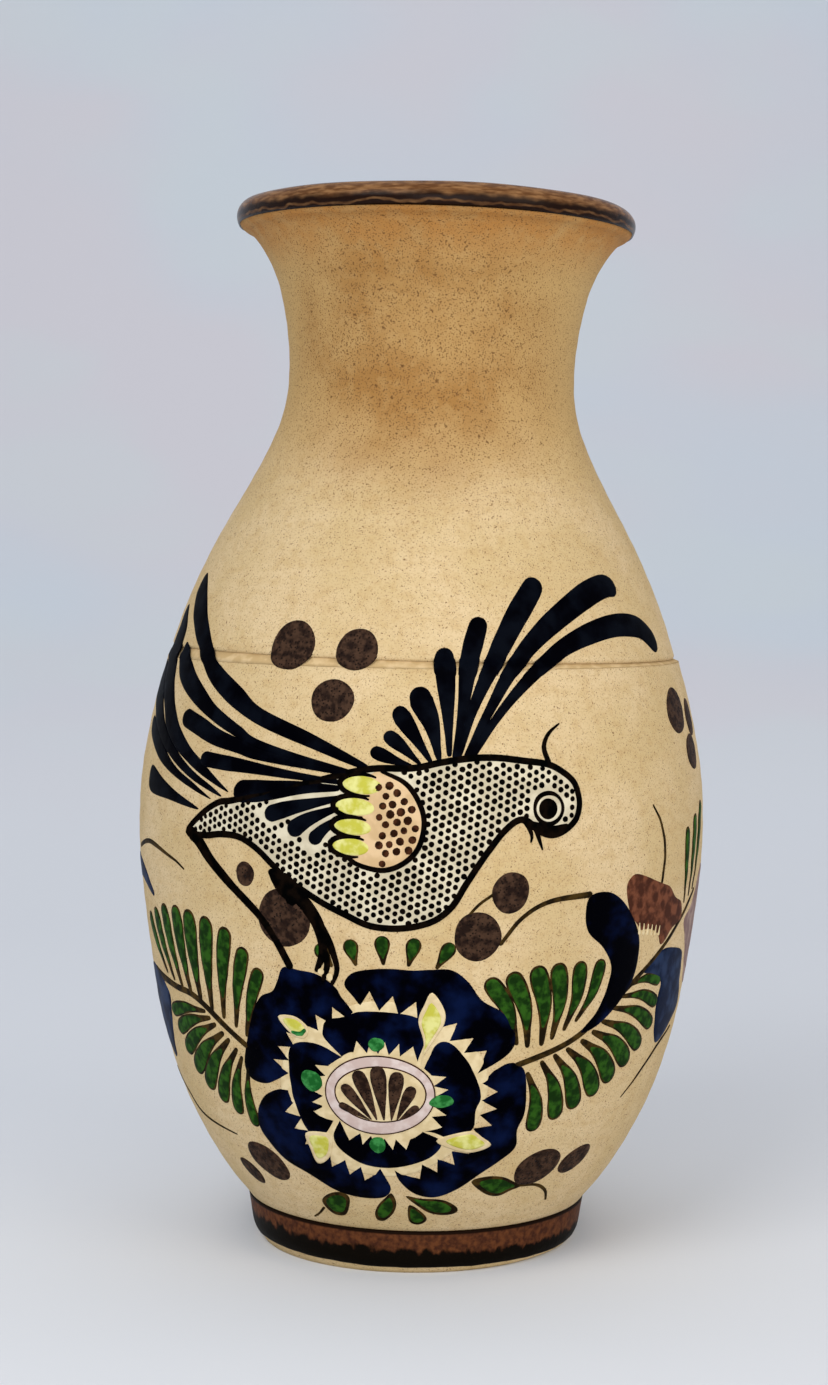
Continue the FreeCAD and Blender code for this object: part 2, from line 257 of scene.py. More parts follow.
class Paint:
    """A procedural material, built up by short calls."""

    def __init__(self, name, roughness=0.6, shine=0.5):
        self.material = bpy.data.materials.new(name)
        self.material.use_nodes = True
        self.tree = self.material.node_tree
        self.surface = self.tree.nodes["Principled BSDF"]
        self.surface.inputs["Roughness"].default_value = roughness
        self.surface.inputs["Specular IOR Level"].default_value = shine
        self.place = self.tree.nodes.new("ShaderNodeTexCoord").outputs["Object"]

    def node(self, kind, result, **settings):
        """A node whose inputs are given by name or number."""
        inputs = settings.pop("inputs")
        made = self.tree.nodes.new(kind)
        for key, value in settings.items():
            setattr(made, key, value)
        for key, value in inputs.items():
            self.feed(made.inputs[key], value)
        return made.outputs[result]

    def feed(self, socket, value):
        """Give a socket a constant or another node's result."""
        if isinstance(value, bpy.types.NodeSocket):
            self.tree.links.new(value, socket)
        else:
            socket.default_value = value

    def noise(self, size, detail=2.0, squash=1.0, shift=0.0):
        """Soft mottling whose patches are about size millimetres across."""
        place = self.node(
            "ShaderNodeMapping", 0,
            inputs={0: self.place, 1: (shift, shift, shift), 3: (1, 1, squash)})
        return self.node(
            "ShaderNodeTexNoise", 0,
            inputs={"Vector": place, "Scale": 1 / (size * MM), "Detail": detail})

    def cells(self, size):
        """Distance to scattered points that are about size millimetres apart."""
        return self.node(
            "ShaderNodeTexVoronoi", "Distance",
            inputs={"Vector": self.place, "Scale": 1 / (size * MM)})

    def fade(self, value, start, end, low=0.0, high=1.0):
        """Ramp a value smoothly from low to high between start and end."""
        return self.node(
            "ShaderNodeMapRange", 0, interpolation_type="SMOOTHSTEP",
            inputs={0: value, 1: start, 2: end, 3: low, 4: high})

    def drift(self, size, detail, start, end, low=0.0, high=1.0, squash=1.0, shift=0.0):
        """Mottling ramped smoothly from low to high."""
        return self.fade(self.noise(size, detail, squash, shift), start, end, low, high)

    def maths(self, operation, first, second):
        """Plain arithmetic on two values."""
        return self.node("ShaderNodeMath", 0, operation=operation,
                         inputs={0: first, 1: second})

    def both(self, first, second):
        """Product of two values."""
        return self.maths("MULTIPLY", first, second)

    def mix(self, share, first, second):
        """Blend from the first colour to the second."""
        first, second = (c if isinstance(c, bpy.types.NodeSocket) else (*c, 1)
                         for c in (first, second))
        return self.node("ShaderNodeMix", 2, data_type="RGBA",
                         inputs={0: share, 6: first, 7: second})

    def height(self, lean=0.0):
        """Height in metres, measured along a leaning axis."""
        split = self.tree.nodes.new("ShaderNodeSeparateXYZ")
        self.tree.links.new(self.place, split.inputs[0])
        tipped = self.both(split.outputs["X"], math.tan(lean))
        return self.maths("ADD", split.outputs["Z"], tipped)

    def near(self, centre, full, gone):
        """One within a distance of a spot and nothing beyond a greater one, in metres."""
        away = self.node("ShaderNodeVectorMath", "Value", operation="DISTANCE",
                         inputs={0: self.place, 1: centre})
        return self.fade(away, full, gone, 1.0, 0.0)

    def bump(self, value, depth):
        """Raise the surface by depth millimetres where value is 1."""
        bent = self.node("ShaderNodeBump", 0,
                         inputs={"Strength": 1.0, "Distance": depth * MM, "Height": value})
        self.tree.links.new(bent, self.surface.inputs["Normal"])

    def finish(self, colour):
        """Set the colour and hand over the material."""
        self.feed(self.surface.inputs["Base Color"], colour)
        return self.material


def coat(name, dark, light, size=3.0, roughness=0.5, shine=0.02, start=0.4, end=0.65):
    """A paint that drifts between two colours, with a faint grain."""
    paint = Paint(name, roughness, shine)
    paint.bump(paint.noise(0.7, 2.0), 0.03)
    return paint.finish(paint.mix(paint.drift(size, 3.0, start, end), dark, light))


def clay_material():
    """Speckled buff stoneware, toasted on the neck and under the lip; the neck's front patch is partly
    painted shade.
    """
    clay = Paint("speckled_stoneware", 0.8, 0.2)
    up = clay.height(UPPER.lean)
    body = clay.mix(clay.drift(26, 3.0, 0.35, 0.65), (0.56, 0.42, 0.215), (0.63, 0.485, 0.28))
    streaks = clay.drift(22, 4.0, 0.4, 0.75, 0, 0.3, squash=9.0)
    body = clay.mix(streaks, body, (0.53, 0.37, 0.18))
    body = clay.mix(clay.fade(up, 0.208, 0.250, 0, 0.9), body, (0.49, 0.32, 0.12))
    # The brown patch on the front of the neck is partly toasting and partly painted shade.
    toast_and_shade = clay.near(TOAST_AND_SHADE_SPOT, 0.018, 0.058)
    patchy = clay.both(toast_and_shade, clay.drift(16, 4.0, 0.3, 0.7, 0.45, 1))
    body = clay.mix(patchy, body, (0.31, 0.155, 0.04))
    halo = clay.both(clay.fade(up, 0.278, 0.296), clay.drift(9, 3.0, 0.2, 0.6, 0.4, 1))
    body = clay.mix(halo, body, (0.42, 0.19, 0.045))
    body = clay.mix(clay.drift(3.2, 5.0, 0.46, 0.68, 0, 0.3), body, (0.46, 0.30, 0.12))
    body = clay.mix(clay.drift(0.5, 2.0, 0.48, 0.72, 0, 0.4), body, (0.34, 0.19, 0.07))
    crowd = clay.maths("ADD", clay.fade(up, 0.19, 0.24, 0.0, 0.03), clay.both(toast_and_shade, 0.035))
    for size, rarity, share in ((0.42, 0.65, 0.8), (0.9, 0.73, 0.85)):
        specks = clay.maths("ADD", clay.noise(size, 1.0), crowd)
        body = clay.mix(clay.fade(specks, rarity, rarity + 0.05, 0, share), body, (0.12, 0.052, 0.014))
    clay.bump(clay.noise(0.9, 3.0), 0.07)
    return clay.finish(body)


def rim_material():
    """Iron glaze on the lip: a painted highlight in brown on the top of the bead, black below it, one
    brown line between.
    """
    glaze = Paint("iron_glaze_rim", 0.25, 0.08)
    up = glaze.maths("ADD", glaze.height(UPPER.lean), glaze.both(glaze.noise(6), 0.003))
    # Painted highlight: the top of the bead is coloured a lighter brown than the black below it.
    crown_highlight = glaze.fade(up, (BEAD_UP + 1.5) * MM, (BEAD_UP + 3.5) * MM)
    line = glaze.both(glaze.fade(up, (BEAD_UP - 0.3) * MM, (BEAD_UP + 0.1) * MM),
                      glaze.fade(up, (BEAD_UP + 0.3) * MM, (BEAD_UP + 0.8) * MM, 1, 0))
    brown = glaze.mix(glaze.drift(4, 5.0, 0.35, 0.7, squash=5.0),
                      (0.10, 0.04, 0.013), (0.25, 0.125, 0.05))
    glaze.bump(glaze.noise(1.5), 0.05)
    share = glaze.maths("MAXIMUM", crown_highlight, glaze.both(line, 0.5))
    return glaze.finish(glaze.mix(share, (0.010, 0.003, 0.001), brown))


def foot_material():
    """Iron glaze on the foot: rusty, with a black line above and a ragged black band below."""
    glaze = Paint("iron_glaze_foot", 0.5, 0.03)
    drips = glaze.both(glaze.noise(3.0, 5.0, 0.5), 0.007)
    up = glaze.maths("ADD", glaze.height(LOWER.lean + 0.025), drips)
    low, high = (FOOT_TOP - 3.6) * MM, (FOOT_TOP - 1.9) * MM
    rust = glaze.mix(glaze.drift(1.6, 5.0, 0.3, 0.7), (0.045, 0.015, 0.008), (0.12, 0.041, 0.015))
    body = glaze.mix(glaze.fade(up, low, low + 0.0016), (0.003, 0.002, 0.001), rust)
    line = glaze.fade(glaze.height(LOWER.lean), high, high + 0.0006)
    body = glaze.mix(line, body, (0.008, 0.003, 0.001))
    glaze.bump(glaze.noise(1.2, 3.0), 0.06)
    return glaze.finish(body)


def berry_material():
    """Thick brown slip that dried full of small pits, their bottoms darkened as painted shade."""
    slip = Paint("pitted_brown_slip", 0.6, 0.06)
    pits_and_pit_shade = slip.fade(slip.cells(0.9), 0.12, 0.42)
    tone = slip.mix(slip.drift(2, 4.0, 0.35, 0.65), (0.012, 0.005, 0.003), (0.055, 0.028, 0.016))
    slip.bump(pits_and_pit_shade, 0.14)
    # Painted shade: the bottoms of the pits are coloured darker than the slip between them.
    return slip.finish(slip.mix(pits_and_pit_shade, (0.006, 0.003, 0.002), tone))


# Centre of the brown patch on the neck's front: partly toasting, partly painted shade.
TOAST_AND_SHADE_SPOT = (0.0, -0.042, 0.262)
CLAY = clay_material()
JOINING = coat("joining_slip_dry", (0.50, 0.35, 0.17), (0.61, 0.45, 0.245), 3, 0.85)
LINING = coat("iron_glaze_lining", (0.02, 0.008, 0.003), (0.08, 0.03, 0.01), 14, 0.3)
INK = coat("black_slip_line", (0.001, 0.001, 0.001), (0.005, 0.003, 0.002), 3, 0.5, 0)
FEATHER = coat("blue_black_slip", (0, 0, 0.001), (0.002, 0.003, 0.006), 9, 0.45, 0.01)
NAVY = coat("cobalt_slip_satin", (0, 0, 0.001), (0.002, 0.006, 0.032), 9, 0.4, 0.01, 0.42, 0.72)
WHITE = coat("white_slip_matte", (0.50, 0.44, 0.31), (0.64, 0.58, 0.43), 6, 0.6)
TAN = coat("tan_slip", (0.55, 0.38, 0.20), (0.66, 0.47, 0.27), 5, 0.6)
UMBER = coat("umber_dots", (0.018, 0.006, 0.002), (0.06, 0.02, 0.008), 2)
YELLOW = coat("yellow_slip", (0.48, 0.46, 0.06), (0.66, 0.64, 0.24), 3)
CREAM = coat("cream_slip", (0.60, 0.47, 0.26), (0.70, 0.57, 0.34), 3, 0.6)
LILAC = coat("lilac_slip", (0.52, 0.40, 0.36), (0.64, 0.54, 0.50), 4)
OLIVE = coat("olive_slip_edge", (0.010, 0.006, 0.002), (0.050, 0.028, 0.006), 3)
GREEN = coat("green_slip_leaf", (0.006, 0.024, 0.003), (0.024, 0.085, 0.008), 2.5)
EMERALD = coat("emerald_slip", (0.010, 0.10, 0.018), (0.045, 0.24, 0.06), 2, 0.4)
SLATE = coat("slate_blue_slip", (0.002, 0.006, 0.024), (0.016, 0.03, 0.075), 6, 0.45)
BROWN = berry_material()
UMBER_WASH = coat("umber_wash", (0.055, 0.018, 0.010), (0.16, 0.055, 0.028), 3)
DUSK = coat("lilac_brown_wash", (0.20, 0.13, 0.12), (0.33, 0.24, 0.21), 4, 0.55)
RIM = rim_material()
FOOT = foot_material()


# --------------------------------------------------------------- the clay

MARK_DEPTH = 0.03
ROW_STEP = 0.8
FLOOR_CURVE = 9
GLAZE_BACK = 0.3
BAND_DEPTH = 11.4


def thrown_wall(axis, tree, low, high):
    """Heights up a wall and its radii there, with the low rings left by the potter's fingers."""
    ups = np.arange(low, high, ROW_STEP)
    waves = np.sin(ups / 0.93) + 0.8 * np.sin(ups / 1.61 + 1) + 1.2 * np.sin(ups / 3.7 + 2)
    return ups, axis.profile(tree, ups) + MARK_DEPTH * waves


def ripple(times, start=0):
    """A wave that rises and falls so many times round the pot."""
    return np.sin(np.radians(TURNS * times + start))


def lining_rows(top, bottom, axis, grow):
    """Rows down the inside of a section, grow millimetres behind the face of the glaze."""
    ups = np.arange(top, bottom, -3.0)
    return rows(axis.profile(LINING_TREE, ups, inside=True) + grow, ups)


def add_lower_clay():
    """The bowl: slab, outside, rounded seam edge and inside."""
    ups, radii = thrown_wall(LOWER, BOWL_TREE, FOOT_TOP + 1.0, SEAM - 0.6)
    heel, edge = radii[0], radii[-1]
    under = [(FOOT_HOLE - 0.2, SLAB + 0.6), (FOOT_HOLE - 0.2, FOOT_TOP - 0.8),
             (heel - 3, FOOT_TOP - 0.8), (heel - 1, FOOT_TOP - 0.3)]
    top = [(edge - 0.2, SEAM - 0.1), (edge - 0.6, SEAM), (edge - WALL, SEAM)]
    inside = lining_rows(SEAM - 2, FLOOR + FLOOR_CURVE, LOWER, GLAZE_BACK)
    profile = [*under, *rows(radii, ups), *top, *inside, (30, FLOOR - GLAZE_BACK)]
    rings = turned(LOWER, profile)
    ends = [LOWER.point(0, 0, up) for up in (SLAB + 0.6, FLOOR - GLAZE_BACK)]
    return make_piece("lower_clay", [tube(rings, *ends)], CLAY, "stoneware", "lower_body")


def add_upper_clay():
    """The neck: rounded joint edge, outside, rolled lip and inside."""
    ups, radii = thrown_wall(UPPER, NECK_TREE, JOINT + 1.0, BEAD_UP - 5.0)
    edge = radii[0]
    joint = [(edge - WALL, JOINT), (edge - 0.6, JOINT), (edge - 0.2, JOINT + 0.2)]
    lip = arc(BEAD_RADIUS, BEAD_UP, BEAD, -80, 200, 24)
    inside = lining_rows(BEAD_UP - 5, JOINT + 1, UPPER, GLAZE_BACK)
    rings = turned(UPPER, [*joint, *rows(radii, ups), *lip, *inside])
    return make_piece("upper_clay", [hoop(rings)], CLAY, "stoneware", "upper_body")


def add_joining_slip():
    """The line of slip squeezed between the two sections."""
    wander = 0.12 * ripple(7) + 0.1 * ripple(17, 40)
    bowl_edge, neck_edge = LOWER.radius(BOWL_TREE, SEAM - 1.5), UPPER.radius(NECK_TREE, JOINT + 1.5)
    low = [LOWER.point(TURNS, bowl_edge - back, SEAM) for back in (5.0, 0.4)]
    high = [UPPER.point(TURNS, neck_edge - back, JOINT) for back in (0.4, 5.0)]
    middle = (LOWER.point(TURNS, bowl_edge - 0.3 + wander, SEAM)
              + UPPER.point(TURNS, neck_edge - 0.3 + wander, JOINT)) / 2
    rings = np.stack([*low, middle, *high])
    return make_piece("seam_line", [hoop(rings)], JOINING, "joining_slip", "seam_slip")


def foot_rows(low, high, grow, reach=1):
    """Rows up the outside of the foot."""
    ups = np.arange(low, high, 0.5)
    return rows(LOWER.profile(FOOT_TREE, ups, reach=reach) + grow, ups)


def add_foot():
    """The foot coil, cut flat where it stands, and its band of iron glaze."""
    outer = foot_rows(1.0, FOOT_TOP - 0.7, 0)
    edge = outer[-1][0]
    under = [(FOOT_HOLE, FOOT_TOP - 1.0), (FOOT_HOLE, 3.0), (FOOT_HOLE + 0.6, 0.9), (45.4, 0.9)]
    top = [(edge - 0.5, FOOT_TOP - 0.2), (edge - 2, FOOT_TOP)]
    rings = turned(LOWER, [*under, *outer, *top])
    rings[2:4, :, 2] = 0
    make_piece("foot_coil", [hoop(rings)], CLAY, "stoneware", "foot_ring")
    add_foot_band()


def add_foot_band():
    """The glaze round the foot, with a ragged lower edge."""
    low, high = FOOT_TOP - BAND_DEPTH, FOOT_TOP - 0.4
    outside = foot_rows(low, high, GLAZE, 2)
    inside = [(radius - GLAZE - 0.5, up) for radius, up in outside[::-1]]
    start = (outside[0][0] - 0.6, outside[0][1] - 0.3)
    end = (outside[-1][0] - 0.6, outside[-1][1] + 0.3)
    rings = turned(LOWER, [start, *outside, end, *inside])
    rag = sum(ripple(n, 70 * n) / n ** 0.5 for n in (5, 11, 19, 31, 47))
    sink = np.clip((low + 3 - rings[..., 2]) / 3, 0, 1)
    rings[..., 2] += sink * 0.14 * rag
    make_piece("foot_band", [hoop(rings)], FOOT, "iron_glaze", "foot_glaze")


def add_rim():
    """The glazed lip, a slightly uneven bead."""
    outer = arc(BEAD_RADIUS, BEAD_UP, BEAD + GLAZE, -32, 212, 26)
    inner = arc(BEAD_RADIUS, BEAD_UP, BEAD - 0.6, 205, -25, 14)
    rings = turned(UPPER, [*outer, *inner])
    sway = 0.12 * ripple(3, 40) + 0.07 * ripple(8)
    rings[..., 2] += np.where(rings[..., 2] > BEAD_UP, sway[None, :], 0)
    make_piece("rim_bead", [hoop(rings)], RIM, "iron_glaze", "rim_glaze")


def add_lining():
    """The glaze inside, from the lip down to the floor."""
    neck = lining_rows(BEAD_UP - 1.5, JOINT + 2, UPPER, 0)
    bowl = lining_rows(SEAM - 2, FLOOR + FLOOR_CURVE, LOWER, 0)
    floor = [(46, FLOOR + 3.2), (38, FLOOR + 0.6), (20, FLOOR)]
    shown = np.concatenate([turned(UPPER, neck), turned(LOWER, [*bowl, *floor])])
    middle = LOWER.point(0, 0, 0)
    away = shown - middle
    away[..., 2] = 0
    away /= np.linalg.norm(away, axis=-1, keepdims=True)
    hidden = shown[::-1] + GLAZE_BACK * away[::-1] - (0, 0, 0.2)
    ends = [LOWER.point(0, 0, FLOOR), LOWER.point(0, 0, FLOOR - GLAZE_BACK)]
    rings = np.concatenate([shown[::-1], hidden[::-1]])
    make_piece("inside_glaze", [tube(rings, *ends)], LINING, "iron_glaze", "interior_glaze")


# -------------------------------------------------------- painting helpers

SEAM_REACH = 2.2
PAINTED = (15.0, 290.0)
CURVE_STEPS = 20


class Skin:
    """The outside of the pot, as the surface that paint is laid on."""

    def __init__(self, tree, low, high, turn=3.0, step=0.5):
        self.low, self.turn, self.step = low, turn, step
        self.heights = np.arange(low, high, step)
        grid = []
        for azimuth in np.arange(0, 360, turn):
            sin, cos = math.sin(math.radians(azimuth)), math.cos(math.radians(azimuth))
            row = []
            for height in self.heights:
                x = float(middle_at(height))
                place = hit(tree, (x + FAR * sin, -FAR * cos, height), (x, 0, height))
                row.append(math.hypot(place[0] - x, place[1]))
            grid.append(self.bridged(azimuth, np.array(row)))
        self.grid = np.array(grid + grid[:1])

    def bridged(self, azimuth, row):
        """A column of radii carried over the groove and the step of the seam."""
        edges = LOWER.point(azimuth, SEAM_RADIUS, SEAM) + UPPER.point(azimuth, SEAM_RADIUS, JOINT)
        near = np.abs(self.heights - edges[2] / 2) < SEAM_REACH
        straight = np.interp(self.heights, self.heights[~near], row[~near])
        tallest = np.max([np.roll(row, n) for n in (-2, -1, 0, 1, 2)], axis=0)
        return np.where(near, np.maximum(straight, tallest), row)

    def radius(self, azimuth, height):
        """Radius at each place, read between the grid's lines."""
        turn = np.mod(azimuth, 360) / self.turn
        step = np.clip((height - self.low) / self.step, 0, len(self.heights) - 1.001)
        i, j = turn.astype(int), step.astype(int)
        over, up = turn - i, step - j
        near = self.grid[i, j] * (1 - up) + self.grid[i, j + 1] * up
        far = self.grid[i + 1, j] * (1 - up) + self.grid[i + 1, j + 1] * up
        return near * (1 - over) + far * over

    def bare(self, azimuth, height):
        """Points on the clay itself."""
        radius = self.radius(azimuth, height)
        angle = np.radians(azimuth)
        x = middle_at(height) + radius * np.sin(angle)
        return np.stack([x, -radius * np.cos(angle), height + 0 * x], -1)

    def spans(self, azimuth, height, rise):
        """Lines over the clay across two degrees and up twice a rise, centred on each place."""
        across = self.bare(azimuth + 1, height) - self.bare(azimuth - 1, height)
        return across, self.bare(azimuth, height + rise) - self.bare(azimuth, height - rise)

    def at(self, places, lift):
        """Points that stand lift off the clay."""
        azimuth, height = places[..., 0], places[..., 1]
        out = np.cross(*self.spans(azimuth, height, 1))
        out /= np.linalg.norm(out, axis=-1, keepdims=True)
        return self.bare(azimuth, height) + out * np.asarray(lift)[..., None]

    def scale(self, places):
        """Millimetres along the clay for one degree and for one millimetre of height."""
        across, upward = self.spans(places[..., 0], places[..., 1], 2)
        return np.stack([np.linalg.norm(across, axis=-1) / 2,
                         np.linalg.norm(upward, axis=-1) / 4], -1)

    def run(self, places):
        """Millimetres along a line of places, counted from its start."""
        points = self.bare(places[:, 0], places[:, 1])
        return np.concatenate([[0], np.cumsum(np.linalg.norm(np.diff(points, axis=0), axis=1))])


def curve(corners, closed=False, spacing=0.8):
    """Evenly spaced places along a smooth line through the corners."""
    knots = np.array(corners, float)
    if closed:
        knots = np.vstack([knots[-1], knots, knots[:2]])
    else:
        knots = np.vstack([2 * knots[0] - knots[1], knots, 2 * knots[-1] - knots[-2]])
    share = np.linspace(0, 1, CURVE_STEPS, endpoint=False)[:, None]
    line = []
    for a, b, c, d in zip(knots, knots[1:], knots[2:], knots[3:]):
        bend = 2 * a - 5 * b + 4 * c - d + share * (3 * (b - c) + d - a)
        line.append(b + 0.5 * share * (c - a + share * bend))
    line = np.vstack([*line, knots[-2]])
    run = SKIN.run(line)
    stops = np.linspace(0, run[-1], max(4, int(run[-1] / spacing)))
    return along(line, run, stops[:-1] if closed else stops)


def along(values, run, stops):
    """Columns of values read at distances along their line."""
    return np.column_stack([np.interp(stops, run, column) for column in values.T])


CAP = np.radians([18, 36, 54, 72, 90])
STROKE_ACROSS = np.array([-1, -0.86, -0.5, 0, 0.5, 0.86, 1, 0])
STROKE_LIFT = np.array([0, 0.55, 0.9, 1, 0.9, 0.55, 0, 0])
STROKE_TOP = np.array([0, 1, 1, 1, 1, 1, 0, 0], bool)
ROOTED = -0.12


def sideways(line):
    """One millimetre to the left of a line, in places, at each of its points."""
    scale = SKIN.scale(line)
    ahead = np.gradient(line, axis=0) * scale
    ahead /= np.linalg.norm(ahead, axis=1, keepdims=True) + 1e-9
    return np.column_stack([-ahead[:, 1], ahead[:, 0]]) / scale


def stroke_rings(centre, side, half, lift, base):
    """The sections of a brush stroke, domed on top and rooted in the clay."""
    spread = STROKE_ACROSS[None, :, None] * half[:, None, None] * side[:, None, :]
    lifts = np.where(STROKE_TOP, base + STROKE_LIFT * lift, ROOTED)
    return SKIN.at(centre[:, None, :] + spread, np.broadcast_to(lifts, spread.shape[:2]))


def stroke(corners, widths, base=0.0, lift=0.15):
    """A brush stroke with round ends, its widths spread along its length."""
    line = curve(corners)
    run = SKIN.run(line)
    total = run[-1]
    first, last = (min(w / 2, total * 0.45) for w in (widths[0], widths[-1]))
    starts, stops = first * (1 - np.cos(CAP)), total - last * (1 - np.cos(CAP[::-1]))
    between = np.linspace(starts[-1], stops[0], max(3, int((stops[0] - starts[-1]) / 0.9)))[1:-1]
    at = np.concatenate([starts, between, stops])
    half = np.interp(at / total, np.linspace(0, 1, len(widths)), widths) / 2
    half[:len(CAP)] = first * np.sin(CAP)
    half[-len(CAP):] = last * np.sin(CAP[::-1])
    rings = stroke_rings(along(line, run, at), along(sideways(line), run, at), half, lift, base)
    ends = SKIN.at(line[[0, -1]], np.array([ROOTED, ROOTED]))
    return tube(rings, *ends)


def ring_stroke(corners, width, base=0.0, lift=0.15):
    """A brush line that closes on itself."""
    line = curve(corners, closed=True)
    padded = np.vstack([line[-1], line, line[0]])
    side = sideways(padded)[1:-1]
    half = np.full(len(line), width / 2)
    return hoop(stroke_rings(line, side, half, lift, base))


def rotated(x, y, tilt):
    """Rows of x and y, turned by tilt degrees."""
    cos, sin = math.cos(math.radians(tilt)), math.sin(math.radians(tilt))
    return np.column_stack([(x * cos - y * sin).ravel(), (x * sin + y * cos).ravel()])


def oval(centre, across, high, tilt=0.0, count=28, wobble=0.0):
    """Places round an oval whose half sizes are in millimetres."""
    turn = np.radians(np.arange(count) * 360 / count)
    waves = sum(np.sin(n * turn + RANDOM.uniform(0, 6)) / n for n in (2, 3, 5))
    size = 1 + wobble * waves
    x, y = across * size * np.cos(turn), high * size * np.sin(turn)
    return np.array(centre) + rotated(x, y, tilt) / SKIN.scale(np.array(centre, float))


BLOB_SHARE = np.array([0.45, 0.8, 0.95, 1.0])
BLOB_LIFT = np.array([1.0, 0.92, 0.6])
BLOB_SIDES, DOT_SIDES = 36, 9


def mound(places, lifts, middle, top):
    """Rings of places shut by one point at the top and one inside the clay."""
    ends = SKIN.at(np.array([middle, middle]), np.array([top, ROOTED]))
    return tube(SKIN.at(places, lifts), *ends)


def blob(centre, across, high, tilt=0.0, base=0.0, lift=0.2, wobble=0.0, lumps=0.0):
    """A raised spot of paint."""
    edge = oval(centre, across, high, tilt, BLOB_SIDES, wobble)
    middle = np.array(centre, float)
    places = middle + BLOB_SHARE[:, None, None] * (edge - middle)
    lifts = np.full((4, BLOB_SIDES), ROOTED)
    lifts[:3] = base + BLOB_LIFT[:, None] * lift + lumps * RANDOM.uniform(-1, 1, (3, BLOB_SIDES))
    return mound(places, lifts, middle, base + lift)


def dot(centre, radius, base=0.0, lift=0.12):
    """A small round touch of the brush."""
    edge = oval(centre, radius, radius, 0, DOT_SIDES, 0.06)
    middle = np.array(centre, float)
    places = np.stack([middle + 0.85 * (edge - middle), edge])
    lifts = np.array([[base + 0.7 * lift] * DOT_SIDES, [ROOTED] * DOT_SIDES])
    return mound(places, lifts, middle, base + lift)


def flat(places):
    """Places as points on a plane that keeps millimetres near the front."""
    return places * np.array([PLANE, 1.0])


def is_inside(points, outline):
    """Which points lie inside a closed outline."""
    x, y = points[:, 0][:, None], points[:, 1][:, None]
    a, b = outline, np.roll(outline, -1, 0)
    spans = (a[:, 1] > y) != (b[:, 1] > y)
    rise = np.where(b[:, 1] == a[:, 1], 1e-9, b[:, 1] - a[:, 1])
    cuts = x < a[:, 0] + (y - a[:, 1]) * (b[:, 0] - a[:, 0]) / rise
    return (spans & cuts).sum(1) % 2 == 1


def clearance(points, outline):
    """How far each point is from an outline's lines."""
    a, b = outline[None], np.roll(outline, -1, 0)[None]
    p, step = points[:, None], b - a
    share = np.clip(((p - a) * step).sum(2) / ((step ** 2).sum(2) + 1e-9), 0, 1)
    return np.linalg.norm(p - a - share[..., None] * step, axis=2).min(1)


ROW_RATIO = 0.866  # gap between the rows of a staggered grid, over its spacing


def lattice(outline, spacing, margin, tilt=0.0, jitter=0.0):
    """Staggered points inside an outline, kept a margin away from it."""
    low, high = outline.min(0), outline.max(0)
    reach = np.linalg.norm(high - low)
    steps = np.arange(-reach, reach, spacing)
    x, y = np.meshgrid(steps, steps * ROW_RATIO)
    x = x + (np.arange(len(steps)) % 2 * spacing / 2)[:, None]
    points = rotated(x, y, tilt) + (low + high) / 2
    points = points + RANDOM.uniform(-jitter, jitter, points.shape)
    points = points[is_inside(points, outline)]
    return points[clearance(points, outline) > margin]


def inset(outline, distance):
    """Points just inside an outline, one for each of its corners."""
    ahead = np.roll(outline, -1, 0) - np.roll(outline, 1, 0)
    ahead /= np.linalg.norm(ahead, axis=1, keepdims=True) + 1e-9
    inward = np.column_stack([-ahead[:, 1], ahead[:, 0]])
    sides = np.vstack([outline + inward * distance, outline - inward * distance])
    sides = sides[is_inside(sides, outline)]
    return sides[clearance(sides, outline) > 0.8 * distance]


def patch(places, base=0.0, lift=0.15):
    """A flat area of paint inside a closed outline."""
    outline = flat(places)
    fill = np.vstack([inset(outline, 0.4), lattice(outline, 2.6, 0.7)])
    corners = [Vector(p) for p in np.vstack([outline, fill])]
    loop = list(range(len(outline)))
    points, _, faces = delaunay_2d_cdt(corners, [], [loop], 1, 1e-4)[:3]
    on_edge = {point for side in open_edges(faces) for point in side}
    laid = np.array([tuple(p) for p in points]) / np.array([PLANE, 1.0])
    tops = base + np.where([i in on_edge for i in range(len(laid))], 0.3 * lift, lift)
    above, below = SKIN.at(laid, tops), SKIN.at(laid, np.full(len(laid), ROOTED))
    return np.vstack([above, below]), shell_faces(faces, len(laid))


def areas(outlines, base=0.0, lift=0.15):
    """A flat area of paint inside a smooth line through each outline's corners."""
    return [patch(curve(outline, True), base, lift) for outline in outlines]


def open_edges(faces):
    """Sides that only one face has, in the direction that the face has them."""
    sides = {(a, b) for face in faces for a, b in zip(face, [*face[1:], face[0]])}
    return [(a, b) for a, b in sides if (b, a) not in sides]


def shell_faces(faces, count):
    """Top, bottom and side faces of a patch whose bottom points follow its top ones."""
    bottom = [[count + i for i in reversed(face)] for face in faces]
    sides = [[b, a, count + a, count + b] for a, b in open_edges(faces)]
    return [*faces, *bottom, *sides]


def teardrop(tip, root, width, bend=0.0, base=0.0, slim=0.25):
    """A leaf or petal: narrow at its root and round at its tip."""
    shares = (slim, 0.42, 0.78, 1, 0.95)
    return stroke(bowed(root, tip, bend), [share * width for share in shares], base)


def bowed(start, end, bend):
    """Three places from start to end, the middle one pushed sideways in millimetres."""
    start, end = np.array(start, float), np.array(end, float)
    middle = (start + end) / 2
    scale = SKIN.scale(middle)
    ahead = (end - start) * scale
    ahead /= np.linalg.norm(ahead) + 1e-9
    return [start, middle + bend * np.array([-ahead[1], ahead[0]]) / scale, end]


def leaf(tip, root, width, bend=0.0):
    """The two layers of a leaf: an olive edge and a green middle."""
    line = np.array(bowed(root, tip, bend))
    start, end = line[0] + 0.45 * (line[1] - line[0]), line[2] - 0.05 * (line[2] - line[1])
    shares = (0.2, 0.62, 0.9, 1, 0.9)
    core = [share * (width - 1.1) for share in shares]
    return teardrop(tip, root, width, bend), stroke([start, line[1], end], core, 0.11, 0.09)


# ------------------------------------------------------------------ the bird

